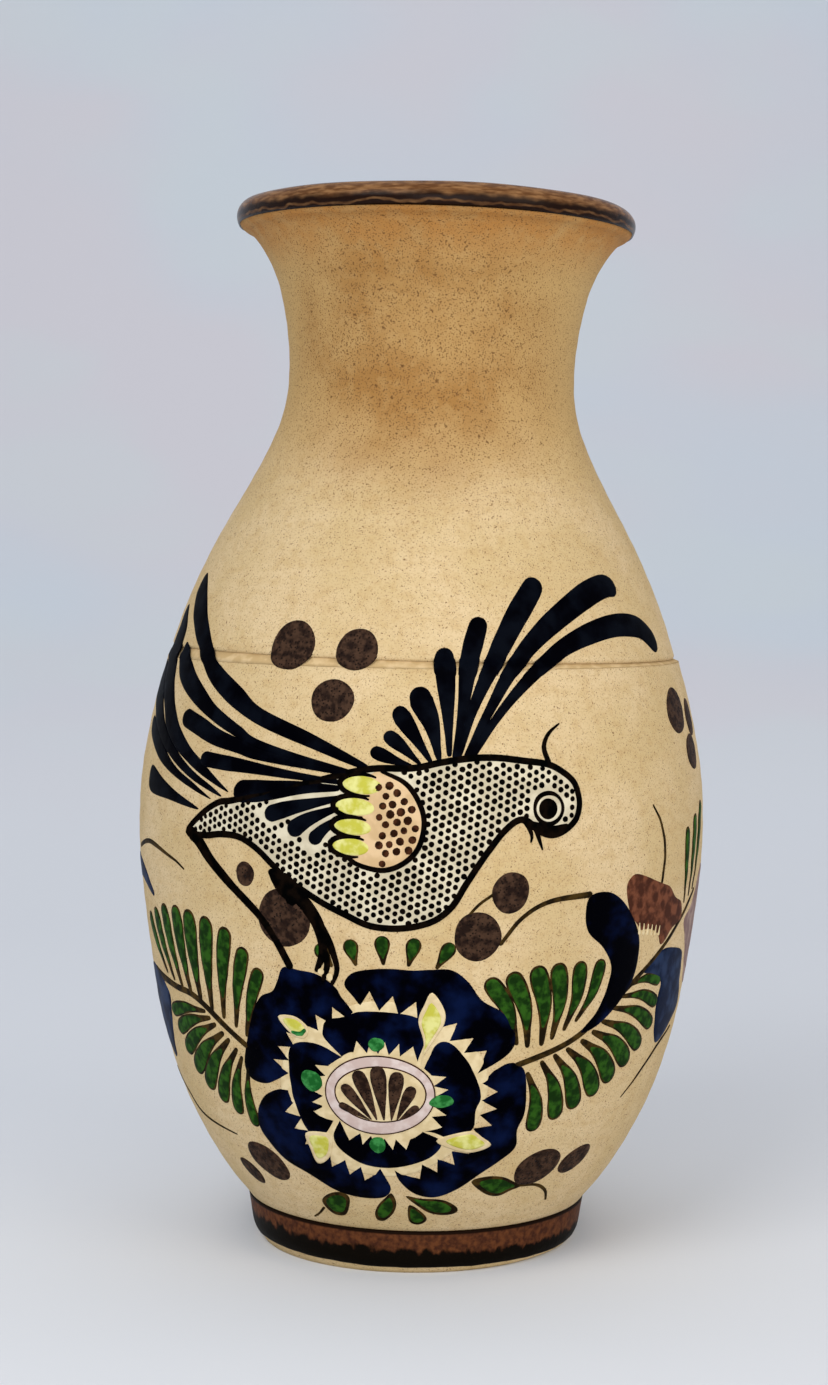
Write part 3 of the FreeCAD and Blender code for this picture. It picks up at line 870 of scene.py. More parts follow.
SLIP, COVER_TOP = 0.12, 0.18
LONG_FEATHERS = [
    [(-71, 196.5), (-73, 191.5), (-69, 185.5), (-63, 179.5), (-57, 174), (-51.7, 168), (-45.6, 163),
     (-40, 159.2), (-33.7, 155.6), (-22, 150.3), (-11, 145), (-11, 146.7), (-22, 154.2),
     (-34.4, 160.6), (-40, 165.5), (-46.4, 170), (-50.6, 173.6), (-55.7, 180), (-60.2, 185.7),
     (-65, 191.5)],
    [(-66, 177), (-67.2, 172.8), (-65.4, 168.5), (-60.8, 164.5), (-54.6, 160.6), (-48, 156.8),
     (-41.7, 153.5), (-33, 149.4), (-14, 143.6), (-14, 145), (-33.2, 151.8), (-38.2, 155),
     (-43, 158), (-47.4, 161), (-52, 165), (-57, 169), (-61, 173)],
]
SHORT_FEATHERS = [
    ((5.7, 5.7, 4.4, 3.1, 2.0, 1.4),
     [(-57.6, 157), (-51, 154.6), (-45, 152), (-38, 149.8), (-33, 148), (-14, 143.9)]),
    ((4.6, 4.4, 3.1, 2.1, 1.4), [(-48.5, 146), (-42, 145.3), (-37, 144.8), (-32, 144.1), (-25, 143),
                                 (-15, 141.5)]),
    ((6.8, 6.6, 5.0, 3.2, 1.8), [(-38.3, 137.7), (-31, 138.5), (-23, 139.8), (-15.5, 140)]),
    ((5.2, 5.0, 3.8, 2.6, 1.6), [(-30.6, 132), (-24.5, 134.6), (-15, 137.6)]),
    ((5.4, 5.0, 3.8, 2.5, 1.6), [(-25.4, 127.6), (-21.5, 131.5), (-15, 135.3)]),
    ((4.4, 3.9, 2.8, 1.9), [(-20.9, 125.3), (-18.5, 129), (-15.5, 132)]),
]
PLUMES = [
    [(-77, 187.5), (-78, 180), (-78.5, 172), (-74.6, 165.5), (-69.2, 158.5), (-64.4, 152.6),
     (-58.8, 148), (-53.2, 144.6), (-46.8, 140.9), (-39.7, 137.4), (-42.2, 140), (-47.4, 144.6),
     (-52.7, 148.6), (-58, 153.6), (-62.4, 159.1), (-67, 167), (-68.8, 172.7), (-70, 181)],
    [(-80.5, 171.5), (-82, 165), (-81, 160), (-75.4, 155.6), (-68.4, 150.3), (-61.6, 146.1),
     (-55.4, 142.5), (-49.4, 139.3), (-41.4, 136), (-44, 138.4), (-49.7, 141.8), (-55.3, 145.5),
     (-61, 149.8), (-66, 154.2), (-70, 158.8), (-74, 165.6)],
    [(-76.6, 155.4), (-77.2, 151.4), (-72.2, 148), (-66, 144.2), (-59.5, 141.1), (-52, 138),
     (-44.2, 135.1), (-50, 139), (-55.2, 141.7), (-60.4, 145), (-65.3, 149), (-70, 152.4)],
    [(-69.2, 142), (-71, 138.8), (-69, 134.6), (-58.4, 133.4), (-47.6, 132), (-56.5, 136.3),
     (-62.4, 139)],
]
RIGHT_FEATHERS = [
    (7.6, [(64.6, 174.5), (62.5, 178), (57, 181.5), (47, 182), (36, 179), (27.5, 174), (20, 166.5),
           (14, 158), (9, 148)]),
    (8.0, [(52.5, 191.5), (48, 193), (38.5, 189.5), (27, 181.5), (18.5, 171.5), (12.5, 159.5),
           (8, 148)]),
    (7.2, [(27.3, 195), (25, 192), (19.5, 183.5), (13.5, 171), (9.5, 160.5), (6.5, 148)]),
    (6.0, [(12.2, 185), (11, 181), (9, 172), (7.5, 160), (5.8, 148)]),
    (6.1, [(4.0, 177), (4.2, 171), (4.6, 161), (4.9, 148.5)]),
    (7.0, [(-1.2, 166.8), (-0.5, 163), (1.5, 157), (3, 147.5)]),
    (5.4, [(-5.6, 161.3), (-4.8, 160), (-1.8, 154), (1.5, 147)]),
    (4.5, [(-7.4, 154.7), (-4, 151), (-0.5, 146.5)]),
    (4.2, [(-10, 150.2), (-6, 147.9), (-2, 146)]),
]
BIRD = [
    (-51, 125.5), (-46.5, 131), (-42, 134.5), (-38, 135.5), (-23.5, 140.5), (-11, 145),
    (-2, 145.5), (3.5, 147), (9, 148), (14, 148), (19.5, 147), (24, 146), (27, 144),
    (29.5, 141), (30.5, 137), (30.4, 133.5), (29.4, 130.5), (27, 128), (24.5, 127.2),
    (22, 128.5), (19.5, 131.3), (17.5, 131.3), (15, 128.5), (12.7, 124.5), (10.7, 120.5),
    (8, 114.5), (5.7, 109), (2.6, 105.3), (-1.4, 103.5), (-5.7, 103), (-10, 103.8),
    (-14, 106.3), (-18.5, 109.3), (-22.5, 112.6), (-26, 115.5), (-29.5, 119.8),
    (-32.6, 123.2), (-36.5, 125.7), (-41, 126), (-45.5, 125.2),
]
COVER = [
    (-8, 144.8), (-3.2, 141.5), (-0.5, 136), (0.3, 130.5), (-0.8, 124.3), (-3.6, 120.3),
    (-7.2, 118.6), (-11.6, 119.9), (-13.8, 122), (-14, 128), (-13, 134), (-11.4, 141),
]
LOBES = [
    ((-11.4, 141), 5.6, 2.5), ((-12.6, 135.3), 5.6, 2.4), ((-12.9, 130), 5.4, 2.2),
    ((-13.2, 124.7), 5.3, 2.3),
]
LOBE_TILT, LOBE_SIDE = -5, slice(4, 24)
EYE = (24, 134.3)
# Crest, beak, legs and claws: the line of each stroke and its widths along it.
BIRD_STROKES = [
    ([(24.5, 146), (23.6, 150.5), (24.8, 154), (27.4, 156.6)], [1.7, 1.5, 1.1, 0.5]),
    ([(18.6, 132.4), (19.8, 130), (20.6, 127), (20.3, 125.4)], [2.0, 1.7, 1.2, 0.5]),
    ([(21, 130), (21.6, 128), (22.7, 123.3)], [1.6, 1.3, 0.5]),
    ([(19, 131.2), (21.6, 129.6), (24.6, 128.4), (28, 129.6)], [1.4, 2.8, 2.8, 1.4]),
    ([(-50.5, 126), (-47.6, 123.6), (-43.8, 118.4), (-39, 112.8), (-32.2, 104.8), (-28.9, 98.8),
      (-25.6, 90.6)],
     [4.4, 3.4, 2.6, 2.4, 2.4]),
    ([(-27, 116.5), (-22.6, 109.5), (-20, 104.5), (-18.9, 99.5), (-19, 95), (-20.4, 90.4)],
     [4.2, 4.6, 4.2, 3.6, 2.6, 1.4]),
    ([(-20, 105), (-17.8, 99.5), (-16.6, 95), (-16.1, 91), (-17.3, 87)], [2.6, 2.6, 2.0, 1.6, 1.2]),
    ([(-19, 98), (-18, 93), (-19, 88)], [2.4, 2.0, 1.4]),
    ([(-29.5, 117.5), (-26.5, 113), (-24, 108.5)], [2.4, 5.2, 4.8]),
]


def feather(width, corners):
    """A painted feather, given from its fat tip to its thin root."""
    shares = (0.92, 1, 0.86, 0.6, 0.38, 0.24)
    return stroke(corners, [share * width for share in shares])


def add_wings():
    """The feathers of both wings and the loose plumes of the tail."""
    left = areas(LONG_FEATHERS)
    left += [stroke(corners, widths, SLIP) for widths, corners in SHORT_FEATHERS]
    make_piece("left_wing_strokes", left, FEATHER, "black_slip", "left_wing_feathers")
    make_piece("tail_plume_strokes", areas(PLUMES), FEATHER, "black_slip", "left_wing_plumes")
    right = [feather(*row) for row in RIGHT_FEATHERS]
    make_piece("right_wing_strokes", right, FEATHER, "black_slip", "right_wing_feathers")


def add_bird():
    """The bird: its body, dots, outline, wing cover, eye, beak, legs and claws."""
    body = curve(BIRD, closed=True)
    make_piece("bird_slip", [patch(body, lift=SLIP)], WHITE, "white_slip", "bird_body")
    cover = curve(COVER, closed=True)
    make_piece("bird_dots", body_dots(body, cover), INK, "black_slip")
    make_piece("bird_outline", [ring_stroke(BIRD, 2.0, SLIP)], INK, "black_slip")
    add_wing_cover(cover)
    add_eye()
    strokes = [stroke(*row, SLIP) for row in BIRD_STROKES]
    make_piece("bird_strokes", strokes, INK, "black_slip")
    slits = [blob((-19.3, 90.6), 0.9, 0.9, 0, 0.25, 0.08), blob((-17.6, 89.2), 0.9, 1.1, 0, 0.25, 0.08)]
    make_piece("claw_slits", slits, CREAM, "white_slip")


def body_dots(body, cover):
    """Rows of black dots over the body, clear of the wing cover and the eye."""
    points = lattice(flat(body), 2.15, 0.9, 24, 0.16)
    points = points[~is_inside(points, flat(cover))]
    points = points[clearance(points, flat(cover)) > 0.7]
    for _, corners in SHORT_FEATHERS:
        points = points[clearance(points, flat(np.array(corners))) > 2.6]
    lobes = flat(np.array([lobe[0] for lobe in LOBES]))
    points = points[np.linalg.norm(points[:, None] - lobes, axis=2).min(1) > 3.4]
    points = points[np.linalg.norm(points - flat(np.array(EYE)), axis=1) > 5.3]
    return [dot(p / (PLANE, 1), RANDOM.uniform(0.78, 0.95), SLIP) for p in points]


def add_wing_cover(cover):
    """The dotted cover, its outline, and four yellow lobes edged in black."""
    make_piece("wing_cover", [patch(cover, SLIP, 0.06)], TAN, "white_slip")
    border = stroke(COVER[:9], [1.0, 1.6, 1.6, 1.7, 1.6, 1.4], COVER_TOP, 0.1)
    make_piece("cover_outline", [border], INK, "black_slip")
    points = lattice(flat(cover), 2.9, 1.5, 12, 0.2)
    points = points[points[:, 0] > -8.6 * PLANE]
    spots = [dot(p / (PLANE, 1), RANDOM.uniform(1.05, 1.35), COVER_TOP) for p in points]
    make_piece("cover_spots", spots, UMBER, "brown_slip")
    lobes = [blob(*lobe, LOBE_TILT, COVER_TOP, 0.1, 0.03) for lobe in LOBES]
    make_piece("cover_lobes", lobes, YELLOW, "white_slip")
    edges = [stroke(oval(place, across + 0.4, high + 0.4, LOBE_TILT)[LOBE_SIDE],
                    [0.6, 1.4, 1.9, 1.4, 0.6], 0.24, 0.1)
             for place, across, high in LOBES]
    make_piece("lobe_edges", edges, INK, "black_slip")


def add_eye():
    """The eye: a black rim, a pale ring and a black pupil."""
    make_piece("eye_rim", [blob(EYE, 4.9, 4.9, 0, SLIP, 0.12, 0.03)], INK, "black_slip")
    make_piece("eye_ring", [blob(EYE, 3.8, 3.7, 0, 0.24, 0.06, 0.03)], WHITE, "white_slip")
    make_piece("eye_pupil", [blob((23.8, 134.2), 2.9, 2.9, 0, 0.3, 0.06, 0.02)], INK, "black_slip")


# ---------------------------------------------------------------- the flower

OUTER_PETALS = [
    ([(-13, 79.7), (-15.5, 84), (-16.3, 86), (-18.5, 88.5), (-21, 90), (-24, 90.5), (-27.4, 91),
      (-29, 87), (-30.3, 84), (-33.3, 82), (-35.8, 77), (-38.3, 68), (-39.8, 62), (-38.8, 58),
      (-35, 57), (-31.5, 58.7), (-28.3, 61)],
     ([(-30, 64), (-26, 72), (-15, 80)], 6, 2.3)),
    ([(-13, 84), (-14.7, 87), (-14, 89.5), (-12.3, 91), (-9, 91.8), (-5.5, 92), (-1.5, 91.6),
      (2, 91.8), (6, 91.6), (9.3, 88.2), (12.2, 83), (17, 79), (19.6, 74), (18.6, 68), (12, 62.3)],
     ([(12, 68), (2, 79), (-12, 84)], 7, 2.5)),
    ([(15.5, 63), (18.5, 65), (21, 64.3), (22.8, 61), (24, 50.5), (23, 45), (23.5, 39.5),
      (20, 35.5), (15.5, 31.7), (11, 27.7), (6, 25.2), (2, 25.2), (-1.7, 27), (-4.5, 30.5),
      (-5.7, 34)],
     ([(0, 33), (9, 38), (15, 48), (15, 60)], 8, 2.3)),
    ([(-29, 56), (-32, 55.7), (-36, 53), (-39, 48), (-39.8, 43), (-38.4, 39), (-35, 34),
      (-29, 30.5), (-23, 26.4), (-18, 24.7), (-12.5, 24.2), (-8.5, 25), (-6.8, 27.7), (-8, 31.5),
      (-9.1, 34.4)],
     ([(-13, 32), (-24, 38), (-30, 52)], 7, 2.3)),
]
INNER_PETALS = [
    ([(-15.8, 67), (-19.3, 72), (-19.6, 74.7), (-18.6, 77.2), (-15, 78.4), (-11.8, 80), (-5.6, 80),
      (-0.8, 78.8), (1.3, 75.7), (1, 71.5), (-0.3, 66.2)],
     ([(-2, 69), (-8, 70), (-14, 70)], 5, 1.9)),
    ([(1, 64.3), (2, 67.5), (3.3, 71), (5.2, 71.9), (7.4, 70.2), (10.2, 65.6), (12.3, 60.2),
      (13.4, 55.7), (12.5, 51.7), (12.5, 47), (10.6, 44.6), (7, 43.8), (3.5, 45.4), (1, 46)],
     ([(4, 48), (5, 55), (4, 63)], 5, 1.9)),
    ([(1, 46), (4.8, 43.5), (5.3, 41), (3, 37.8), (-1.7, 35.5), (-6.4, 34.4), (-11.2, 34.7),
      (-15, 36.3), (-18.8, 40), (-19.5, 44), (-17.5, 48.4)],
     ([(-15, 44), (-8, 42), (-1, 42)], 5, 1.8)),
    ([(-15.7, 67), (-20, 69.9), (-23.2, 70.6), (-25.9, 70), (-27.5, 68), (-28, 63.7), (-28.2, 58.5),
      (-28, 53.5), (-26.6, 46), (-24.8, 43.2), (-22.8, 42.8), (-20.8, 44.8), (-19, 48.2)],
     ([(-22, 51), (-22, 58), (-20, 65)], 5, 1.8)),
]
GREEN_SPOTS = [
    ((-8.6, 71), 2.2, 2.1), ((-23, 59.6), 3.2, 3.3), ((4.9, 54.8), 3.4, 2.0),
    ((-9.2, 41.6), 2.2, 2.9),
]
YELLOW_DABS = [
    [(2.3, 84.5), (4.4, 80.5), (4.6, 77), (3, 73), (1, 68.5), (0.6, 66.5), (1, 72), (0, 77.5),
     (1, 81.5)],
    [(-29, 76.8), (-25.5, 77.2), (-23, 74.5), (-24, 71.8), (-26.5, 72.8)],
    [(-26.2, 43.3), (-26, 39), (-25, 35), (-21.7, 37.3), (-20.3, 42.8), (-22, 44)],
    [(5, 43), (11.5, 45.4), (14.5, 43.5), (16.5, 41), (11.5, 39.5)],
]
PETAL_TOP, RING_TOP = 0.15, 0.22
FLOWER = (-8.3, 56.3)
STAMEN_COUNT = 7
FAN, FAN_REACH = (-8.6, 53.5), (8.6, 11.5)
FAN_ROOT, FAN_ROOT_REACH = (-7.4, 49.3), 3.2
PETAL_HALO = [
    (-30.5, 60), (-27, 69.5), (-20, 77.5), (-9, 83), (2.5, 80), (10, 72), (14.5, 62), (13.5, 50),
    (7.5, 38.5), (-4, 32), (-18, 33.5), (-26.5, 40.5), (-30.5, 50),
]


def petal(smooth_side, comb):
    """A petal with one brushed edge and one combed edge."""
    return patch(np.vstack([curve(smooth_side), straight_sided(combed(*comb))]), lift=PETAL_TOP)


def combed(corners, teeth, reach):
    """Places that zigzag about a line, reach millimetres away from and towards the flower's middle."""
    places = spread(corners, 2 * teeth)
    scale = SKIN.scale(places)
    away = (places - FLOWER) * scale
    away /= np.linalg.norm(away, axis=1, keepdims=True)
    swing = np.where(np.arange(2 * teeth) % 2, -reach, reach)[:, None]
    return places + swing * away / scale


def straight_sided(corners):
    """Corners with a few places along every straight side between them."""
    sides = [a + (b - a) * np.linspace(0, 1, 5, endpoint=False)[:, None]
             for a, b in zip(corners, corners[1:])]
    return np.vstack([*sides, corners[-1]])


def swell(corners, factor):
    """Corners moved away from their middle by a factor."""
    corners = np.array(corners, float)
    middle = corners.mean(0)
    return middle + factor * (corners - middle)


def add_flower():
    """The big flower from its outer petals to its stamens."""
    make_piece("petal_halo", areas([PETAL_HALO], lift=0.06), CREAM, "white_slip")
    make_piece("outer_petals", [petal(*p) for p in OUTER_PETALS], NAVY, "cobalt_slip",
               "flower_outer_petals")
    make_piece("inner_petals", [petal(*p) for p in INNER_PETALS], NAVY, "cobalt_slip",
               "flower_inner_petals")
    borders = areas([swell(dab, 1.12) for dab in YELLOW_DABS], PETAL_TOP, 0.05)
    make_piece("petal_dab_borders", borders, CREAM, "white_slip")
    dabs = areas([swell(dab, 0.8) for dab in YELLOW_DABS], 0.2, 0.07)
    make_piece("petal_dabs", dabs, YELLOW, "white_slip")
    spots = [blob(*spot, 0, PETAL_TOP, 0.12, 0.09) for spot in GREEN_SPOTS]
    spots.append(stroke([(-26.5, 73.2), (-24.5, 72.7), (-23.3, 74.2)], [1.0, 1.6, 1.2], 0.27, 0.06))
    make_piece("petal_green_spots", spots, EMERALD, "green_slip")
    add_flower_centre()


def stamen(angle):
    """One petal-shaped touch of the fan; the one at angle 0 stands upright."""
    tip = (FAN[0] + FAN_REACH[0] * math.sin(angle), FAN[1] + FAN_REACH[1] * math.cos(angle))
    root = (FAN_ROOT[0] + FAN_ROOT_REACH * math.sin(angle), FAN_ROOT[1])
    return teardrop(tip, root, 2.6 + 2.4 * math.cos(angle), 0, 0.25, 0.1)


def add_flower_centre():
    """The lilac ring, the clay inside it and the brown stamens."""
    outer, inner = oval(FLOWER, 14.9, 11.9, 0, 72, 0.014), oval((-8.1, 56.7), 12.5, 8.3, 0, 60, 0.01)
    make_piece("centre_ring", [patch(outer, 0.16, 0.06)], LILAC, "lilac_slip", "flower_centre")
    make_piece("centre_field", [patch(inner, RING_TOP, 0.03)], CREAM, "white_slip")
    edges = [ring_stroke(outer[::3], 0.4, RING_TOP - 0.03, 0.06),
             ring_stroke(inner[::3], 0.45, RING_TOP, 0.07)]
    make_piece("centre_edges", edges, UMBER, "brown_slip")
    stamens = [stamen(angle) for angle in np.radians(np.linspace(-90, 90, STAMEN_COUNT))]
    make_piece("stamens", stamens, BROWN, "brown_slip")


# ----------------------------------------------------------- ferns and fruit

# Each row of leaves: the line of its tips, the line of its roots, how many
# leaves, their widths at the start, middle and end of the row, and their bend.
FRONDS = {
    "right_frond": [
        ([(13, 89), (24, 92), (38, 92)], [(20, 70), (25, 69), (33, 75)], 6, (5.8, 6.6, 5), -1.6),
        ([(59, 82), (58, 68), (45, 54), (27, 44)], [(47, 83), (37, 71), (26, 65), (23, 62)], 10,
         (4, 6.8, 5.6), 1.5),
    ],
    "left_frond": [
        ([(-33, 90), (-42, 101), (-60, 104), (-74, 99)], [(-38, 70), (-44, 74), (-65, 83)], 9,
         (5, 7.4, 5.4), 0.6),
        ([(-66, 72), (-58, 54), (-41, 43)], [(-50, 75), (-42, 67), (-39, 61)], 8, (5, 6.8, 4.6), -1),
    ],
    "crown_leaves": [
        ([(-20, 98), (-7, 101), (6, 99)], [(-17, 92), (-7, 93), (3, 92)], 5, (5, 5, 4.8), 0),
    ],
    "edge_leaves": [([(65, 125), (76, 131)], [(66, 103), (71, 106)], 3, (4.4, 4.8, 5.2), 0.5)],
    "back_leaves": [
        ([(163, 88), (163, 132)], [(179, 72), (179, 116)], 3, (5.6, 5.6, 5.6), -1.2),
        ([(197, 88), (197, 132)], [(181, 72), (181, 116)], 3, (5.6, 5.6, 5.6), 1.2),
    ],
}
STEMS = {
    "right_frond": ([(20, 64), (33, 70), (45, 81), (59, 93), (73, 106)], [2.0, 2.0, 1.8, 1.6, 1.6]),
    "left_frond": ([(-38, 67), (-52, 78), (-62, 80), (-75, 82)], [2.0, 2.2, 2.2, 3.0]),
    "back_leaves": ([(180, 65), (180, 135)], [1.2, 1.3, 1.0]),
}
LOW_LEAVES = [
    [(-28, 21.3), (-25.6, 24), (-21.6, 25.5), (-18.9, 24.4), (-19.5, 21), (-22, 17.5), (-26, 17.6)],
    [(-6.7, 26.2), (-5.6, 22.8), (-6.8, 19.3), (-9.6, 16.6), (-11.8, 16.7), (-12.2, 19), (-10.8, 22),
     (-8.7, 24.4)],
    [(-1.9, 22.4), (1.9, 19.5), (3.1, 17), (0.8, 15.4), (-1.8, 16.2), (-2.5, 19)],
    [(-3, 25.4), (1, 24.6), (7, 24), (11.2, 21.5), (11.6, 19.5), (8.3, 18.7), (3.8, 19.6), (0, 22.3)],
    [(14, 29.6), (17.7, 31), (22.3, 30.4), (26.2, 28.3), (28.8, 26.6), (26, 25.5), (22.6, 24.1),
     (18.4, 25.4)],
]
BIG_BERRIES = [
    ((-29.2, 177.4), 6.8, 7.2), ((-14.3, 176.5), 5.8, 6.0), ((-18.4, 163), 6.1, 6.1),
    ((65.5, 157.6), 6.8, 6.8), ((75, 155), 4.6, 5.5), ((72, 145.5), 5.6, 5.4),
    ((-35.1, 115.8), 3.2, 3.4), ((-26.8, 104.6), 8.0, 8.4), ((16.7, 112.2), 5.4, 5.7),
    ((10.7, 100.6), 6.7, 6.8),
]
FALLEN_BERRIES = [
    ((-41.6, 32.2), 7.8, 5.6, -40), ((-51.2, 27.2), 5.2, 3.2, -44), ((31.8, 32.2), 7.8, 6.0, 24),
    ((43.8, 32.6), 6.2, 4.0, 34),
]
BERRY_LIFT, BERRY_LUMPS = 0.22, 0.02
RIGHT_BUD = [
    (34.5, 71.5), (38, 76.5), (40, 82), (40.8, 89), (38, 95), (33.8, 100), (32.8, 106), (33.8, 110),
    (37.9, 110.5), (42, 107.5), (46.2, 101), (48.4, 95), (48.2, 86), (45.4, 80), (39.5, 73.5),
]
FAR_BUD = [
    (51.5, 86), (54.7, 88.8), (58.4, 91.2), (63.5, 90.7), (68.7, 89.1), (71, 86.6), (72.5, 80),
    (75.7, 72.7), (71, 67.4), (64.2, 63), (61.2, 65.7), (59.4, 72), (59.2, 77), (59.6, 81),
    (57.6, 83.4), (54, 85),
]
LEFT_BUD = [(-74, 83), (-68, 79), (-66, 74.5), (-70, 62), (-72.5, 57), (-76, 58), (-82, 72), (-82, 82)]
SPECKLED_FRUIT = [
    (42.8, 110.5), (43.4, 113.2), (45.4, 114.5), (48.9, 113.2), (51.7, 111.8), (54.8, 110.4),
    (57.8, 109), (60.7, 105.7), (64.4, 103.4), (65.2, 98.7), (61, 96.7), (58, 93.5), (56.3, 93),
    (54.8, 96.2), (51.4, 98.2), (48.4, 98.4), (47, 100.2), (44.4, 104),
]
DUSK_PETAL = [(80, 112), (73, 102), (68, 98), (70, 93), (72.4, 88.6), (77, 79), (82, 78), (86, 95)]
TENDRILS = [
    ([(15, 98), (19.3, 105.3), (24.9, 109.3), (34, 110.4)], [1.2, 1.4, 2.0]),
    ([(7.6, 104.2), (10.5, 109), (13.4, 112)], [0.8, 0.9, 0.9]),
    ([(50.2, 133), (53.2, 127), (54.6, 119), (54, 110.6)], [0.7, 1.3, 1.3]),
    ([(72.3, 66), (64.5, 61.6), (57.3, 54), (53, 49.3)], [1.2, 1.4, 1.2, 0.5]),
    ([(-80, 52), (-72, 46), (-65.5, 41.3), (-50, 38.7)], [1.2, 1.4, 0.5]),
    ([(-78.6, 117.5), (-68.3, 120.3), (-57, 117.3), (-52.4, 114.8)], [1.4, 1.6, 0.6]),
]
FRINGE_COUNT = 6


def spread(corners, count):
    """Places spaced evenly along a smooth line."""
    line = curve(corners)
    return line[np.linspace(0, len(line) - 1, count).astype(int)]


def leaf_row(tips, roots, count, widths, bend):
    """Leaves spaced evenly between a line of tips and a line of roots."""
    breadths = np.interp(np.linspace(0, 2, count), range(3), widths)
    ends = zip(spread(tips, count), spread(roots, count), breadths)
    return [leaf(tip, root, width, bend) for tip, root, width in ends]


def add_leaves(name, *replaced):
    """Leaves and stem of one sprig: olive brushwork and green middles."""
    pairs = [pair for row in FRONDS[name] for pair in leaf_row(*row)]
    edges = [pair[0] for pair in pairs]
    if name in STEMS:
        edges.append(stroke(*STEMS[name]))
    make_piece(name + "_brushwork", edges, OLIVE, "green_slip", *replaced)
    make_piece(name + "_greens", [pair[1] for pair in pairs], GREEN, "green_slip")


def add_foliage():
    """Both ferns, the small leaves round the flower and the thin tendrils."""
    add_leaves("right_frond", "right_fern")
    add_leaves("left_frond", "left_fern")
    add_leaves("crown_leaves")
    add_leaves("edge_leaves")
    add_low_leaves()
    make_piece("tendrils", [stroke(*row) for row in TENDRILS], OLIVE, "green_slip")


def add_low_leaves():
    """The plump leaves between the flower and the foot."""
    edges = areas(LOW_LEAVES, lift=0.1)
    edges.append(stroke([(-34, 15.3), (-31, 17), (-28, 19.5)], [0.6, 0.9]))
    edges.append(stroke([(28, 26.8), (33.8, 26.2), (38.3, 23.5), (40.8, 20)], [0.9, 1.2, 0.8]))
    make_piece("low_leaf_edges", edges, OLIVE, "green_slip")
    middles = areas([swell(outline, 0.72) for outline in LOW_LEAVES], 0.1, 0.08)
    make_piece("low_leaf_middles", middles, GREEN, "green_slip")


def add_buds():
    """The navy bud, the slate-blue ones, the dusk petal and the speckled fruit with its fringe."""
    make_piece("navy_bud", areas([RIGHT_BUD], 0.05), NAVY, "cobalt_slip", "flower_buds")
    shapes = areas([FAR_BUD, LEFT_BUD])
    shapes.append(stroke([(-84, 112), (-76, 110.5), (-68, 105)], [8, 6, 2]))
    make_piece("slate_buds", shapes, SLATE, "cobalt_slip")
    make_piece("dusk_petal", areas([DUSK_PETAL]), DUSK, "lilac_slip")
    make_piece("speckled_fruit", areas([SPECKLED_FRUIT]), UMBER_WASH, "brown_slip")
    fringe = [stroke([(48 + n * 1.4, 97.2 - n * 0.3), (47.6 + n * 1.5, 100.6 - n * 0.4)], [1.2, 0.4],
                     0.15, 0.06)
              for n in range(FRINGE_COUNT)]
    make_piece("fruit_fringe", fringe, CREAM, "white_slip")


def add_berries():
    """The pitted brown berries."""
    round_ones = [blob(*berry, 0, 0, BERRY_LIFT, 0.045, BERRY_LUMPS) for berry in BIG_BERRIES]
    long_ones = [blob(*berry, 0, BERRY_LIFT, 0.04, BERRY_LUMPS) for berry in FALLEN_BERRIES]
    make_piece("berry_spots", round_ones + long_ones, BROWN, "brown_slip", "berries")


def add_back_sprig():
    """A plain leafy sprig on the unseen back."""
    add_leaves("back_leaves", "back_sprig")
    berry = blob((180, 142), 6, 7, 0, 0, BERRY_LIFT, 0.05, BERRY_LUMPS)
    make_piece("back_berry", [berry], BROWN, "brown_slip")


# ------------------------------------------------------------------- staging

def add_backdrop():
    """A pale sweep that runs under and up behind the pot."""
    back, curl, lift = 2.4, 1.8, 3.0
    turn = np.radians(np.linspace(0, 90, 16))
    bend = rows(back - curl + curl * np.sin(turn), curl - curl * np.cos(turn))
    outline = [(-2.4, 0.0), *bend, (back, lift)]
    points = [(x, y, z) for x in (-3.0, 3.0) for y, z in outline]
    count = len(outline)
    faces = [[i, i + 1, count + i + 1, count + i] for i in range(count - 1)]
    mesh = bpy.data.meshes.new("sweep")
    mesh.from_pydata(points, [], faces)
    mesh.materials.append(sweep_material())
    mesh.shade_smooth()
    sweep = in_scene("sweep", mesh)


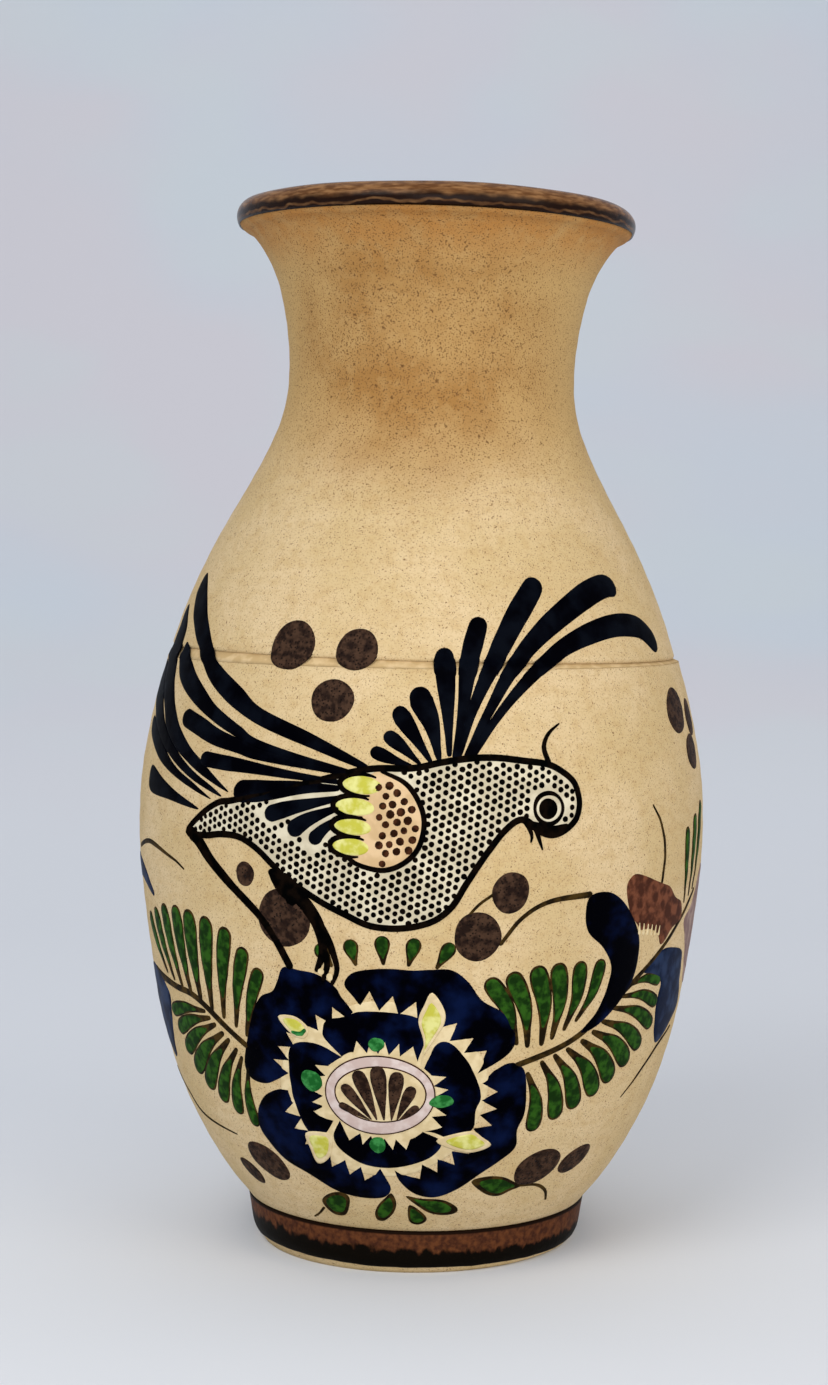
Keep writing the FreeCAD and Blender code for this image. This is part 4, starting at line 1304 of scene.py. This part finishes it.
def sweep_material():
    """Pale lavender-grey paper with soft uneven tints, its floor coloured lighter than its wall as
    painted light.
    """
    paper = Paint("pale_paper", 0.95, 0.0)
    cool = paper.drift(420, 2.0, 0.35, 0.65, shift=3.0)
    tint = paper.mix(cool, (0.66, 0.72, 0.79), (0.71, 0.70, 0.75))
    blush = paper.drift(180, 1.0, 0.45, 0.7, 0, 0.5, shift=7.0)
    wall = paper.mix(blush, tint, (0.68, 0.74, 0.77))
    # Painted light: the floor part of the sweep is coloured lighter than the wall.
    return paper.finish(paper.mix(paper.fade(paper.height(), 0.0, 0.12), (0.74, 0.77, 0.82), wall))


def add_light(name, place, target, size, power, colour=(1, 1, 1)):
    """A soft square light that points at a place."""
    data = bpy.data.lights.new(name, "AREA")
    data.size, data.energy, data.color = size, power, colour
    lamp = in_scene(name, data)
    lamp.location = place
    lamp.rotation_euler = (Vector(target) - Vector(place)).to_track_quat("-Z", "Y").to_euler()


def add_lights():
    """Soft daylight from the front and both sides, a wash on the backdrop and an even sky."""
    middle = (0, 0, 0.16)
    add_light("key", (-0.7, -1.1, 1.1), middle, 0.9, 10, (1.0, 0.99, 0.97))
    add_light("fill", (0.9, -1.0, 0.6), middle, 0.9, 6, (1.0, 0.9, 0.76))
    add_light("low_front", (0.1, -1.3, 0.25), middle, 0.8, 5)
    add_light("wall_wash", (0, 0.7, 2.2), (0, 2.3, 0.7), 1.6, 6.5)
    world = bpy.data.worlds.new("sky")
    world.use_nodes = True
    sky = world.node_tree.nodes["Background"]
    sky.inputs["Color"].default_value = (0.93, 0.95, 1.0, 1)
    sky.inputs["Strength"].default_value = 0.58
    bpy.context.scene.world = world


LENS = 64.5
CAMERA_BACK, CAMERA_UP, CAMERA_DIP = 0.733, 0.203, 3.29


def add_camera():
    """The viewpoint: level with the shoulder and looking a little down."""
    data = bpy.data.cameras.new("camera")
    data.lens, data.sensor_fit, data.sensor_width = LENS, "AUTO", 36
    camera = in_scene("camera", data)
    camera.location = (0, -CAMERA_BACK, CAMERA_UP)
    camera.rotation_euler = (math.radians(90 - CAMERA_DIP), 0, 0)
    bpy.context.scene.camera = camera


# ------------------------------------------------------------------ assembly

clay = [add_lower_clay(), add_joining_slip(), add_upper_clay()]
add_foot()
add_rim()
add_lining()
SKIN = Skin(tree_of(clay), *PAINTED)
PLANE = float(SKIN.scale(np.array([0.0, 100.0]))[0])
add_wings()
add_bird()
add_flower()
add_foliage()
add_buds()
add_berries()
add_back_sprig()
add_backdrop()
add_lights()
add_camera()
bpy.context.scene.view_settings.view_transform = "Standard"
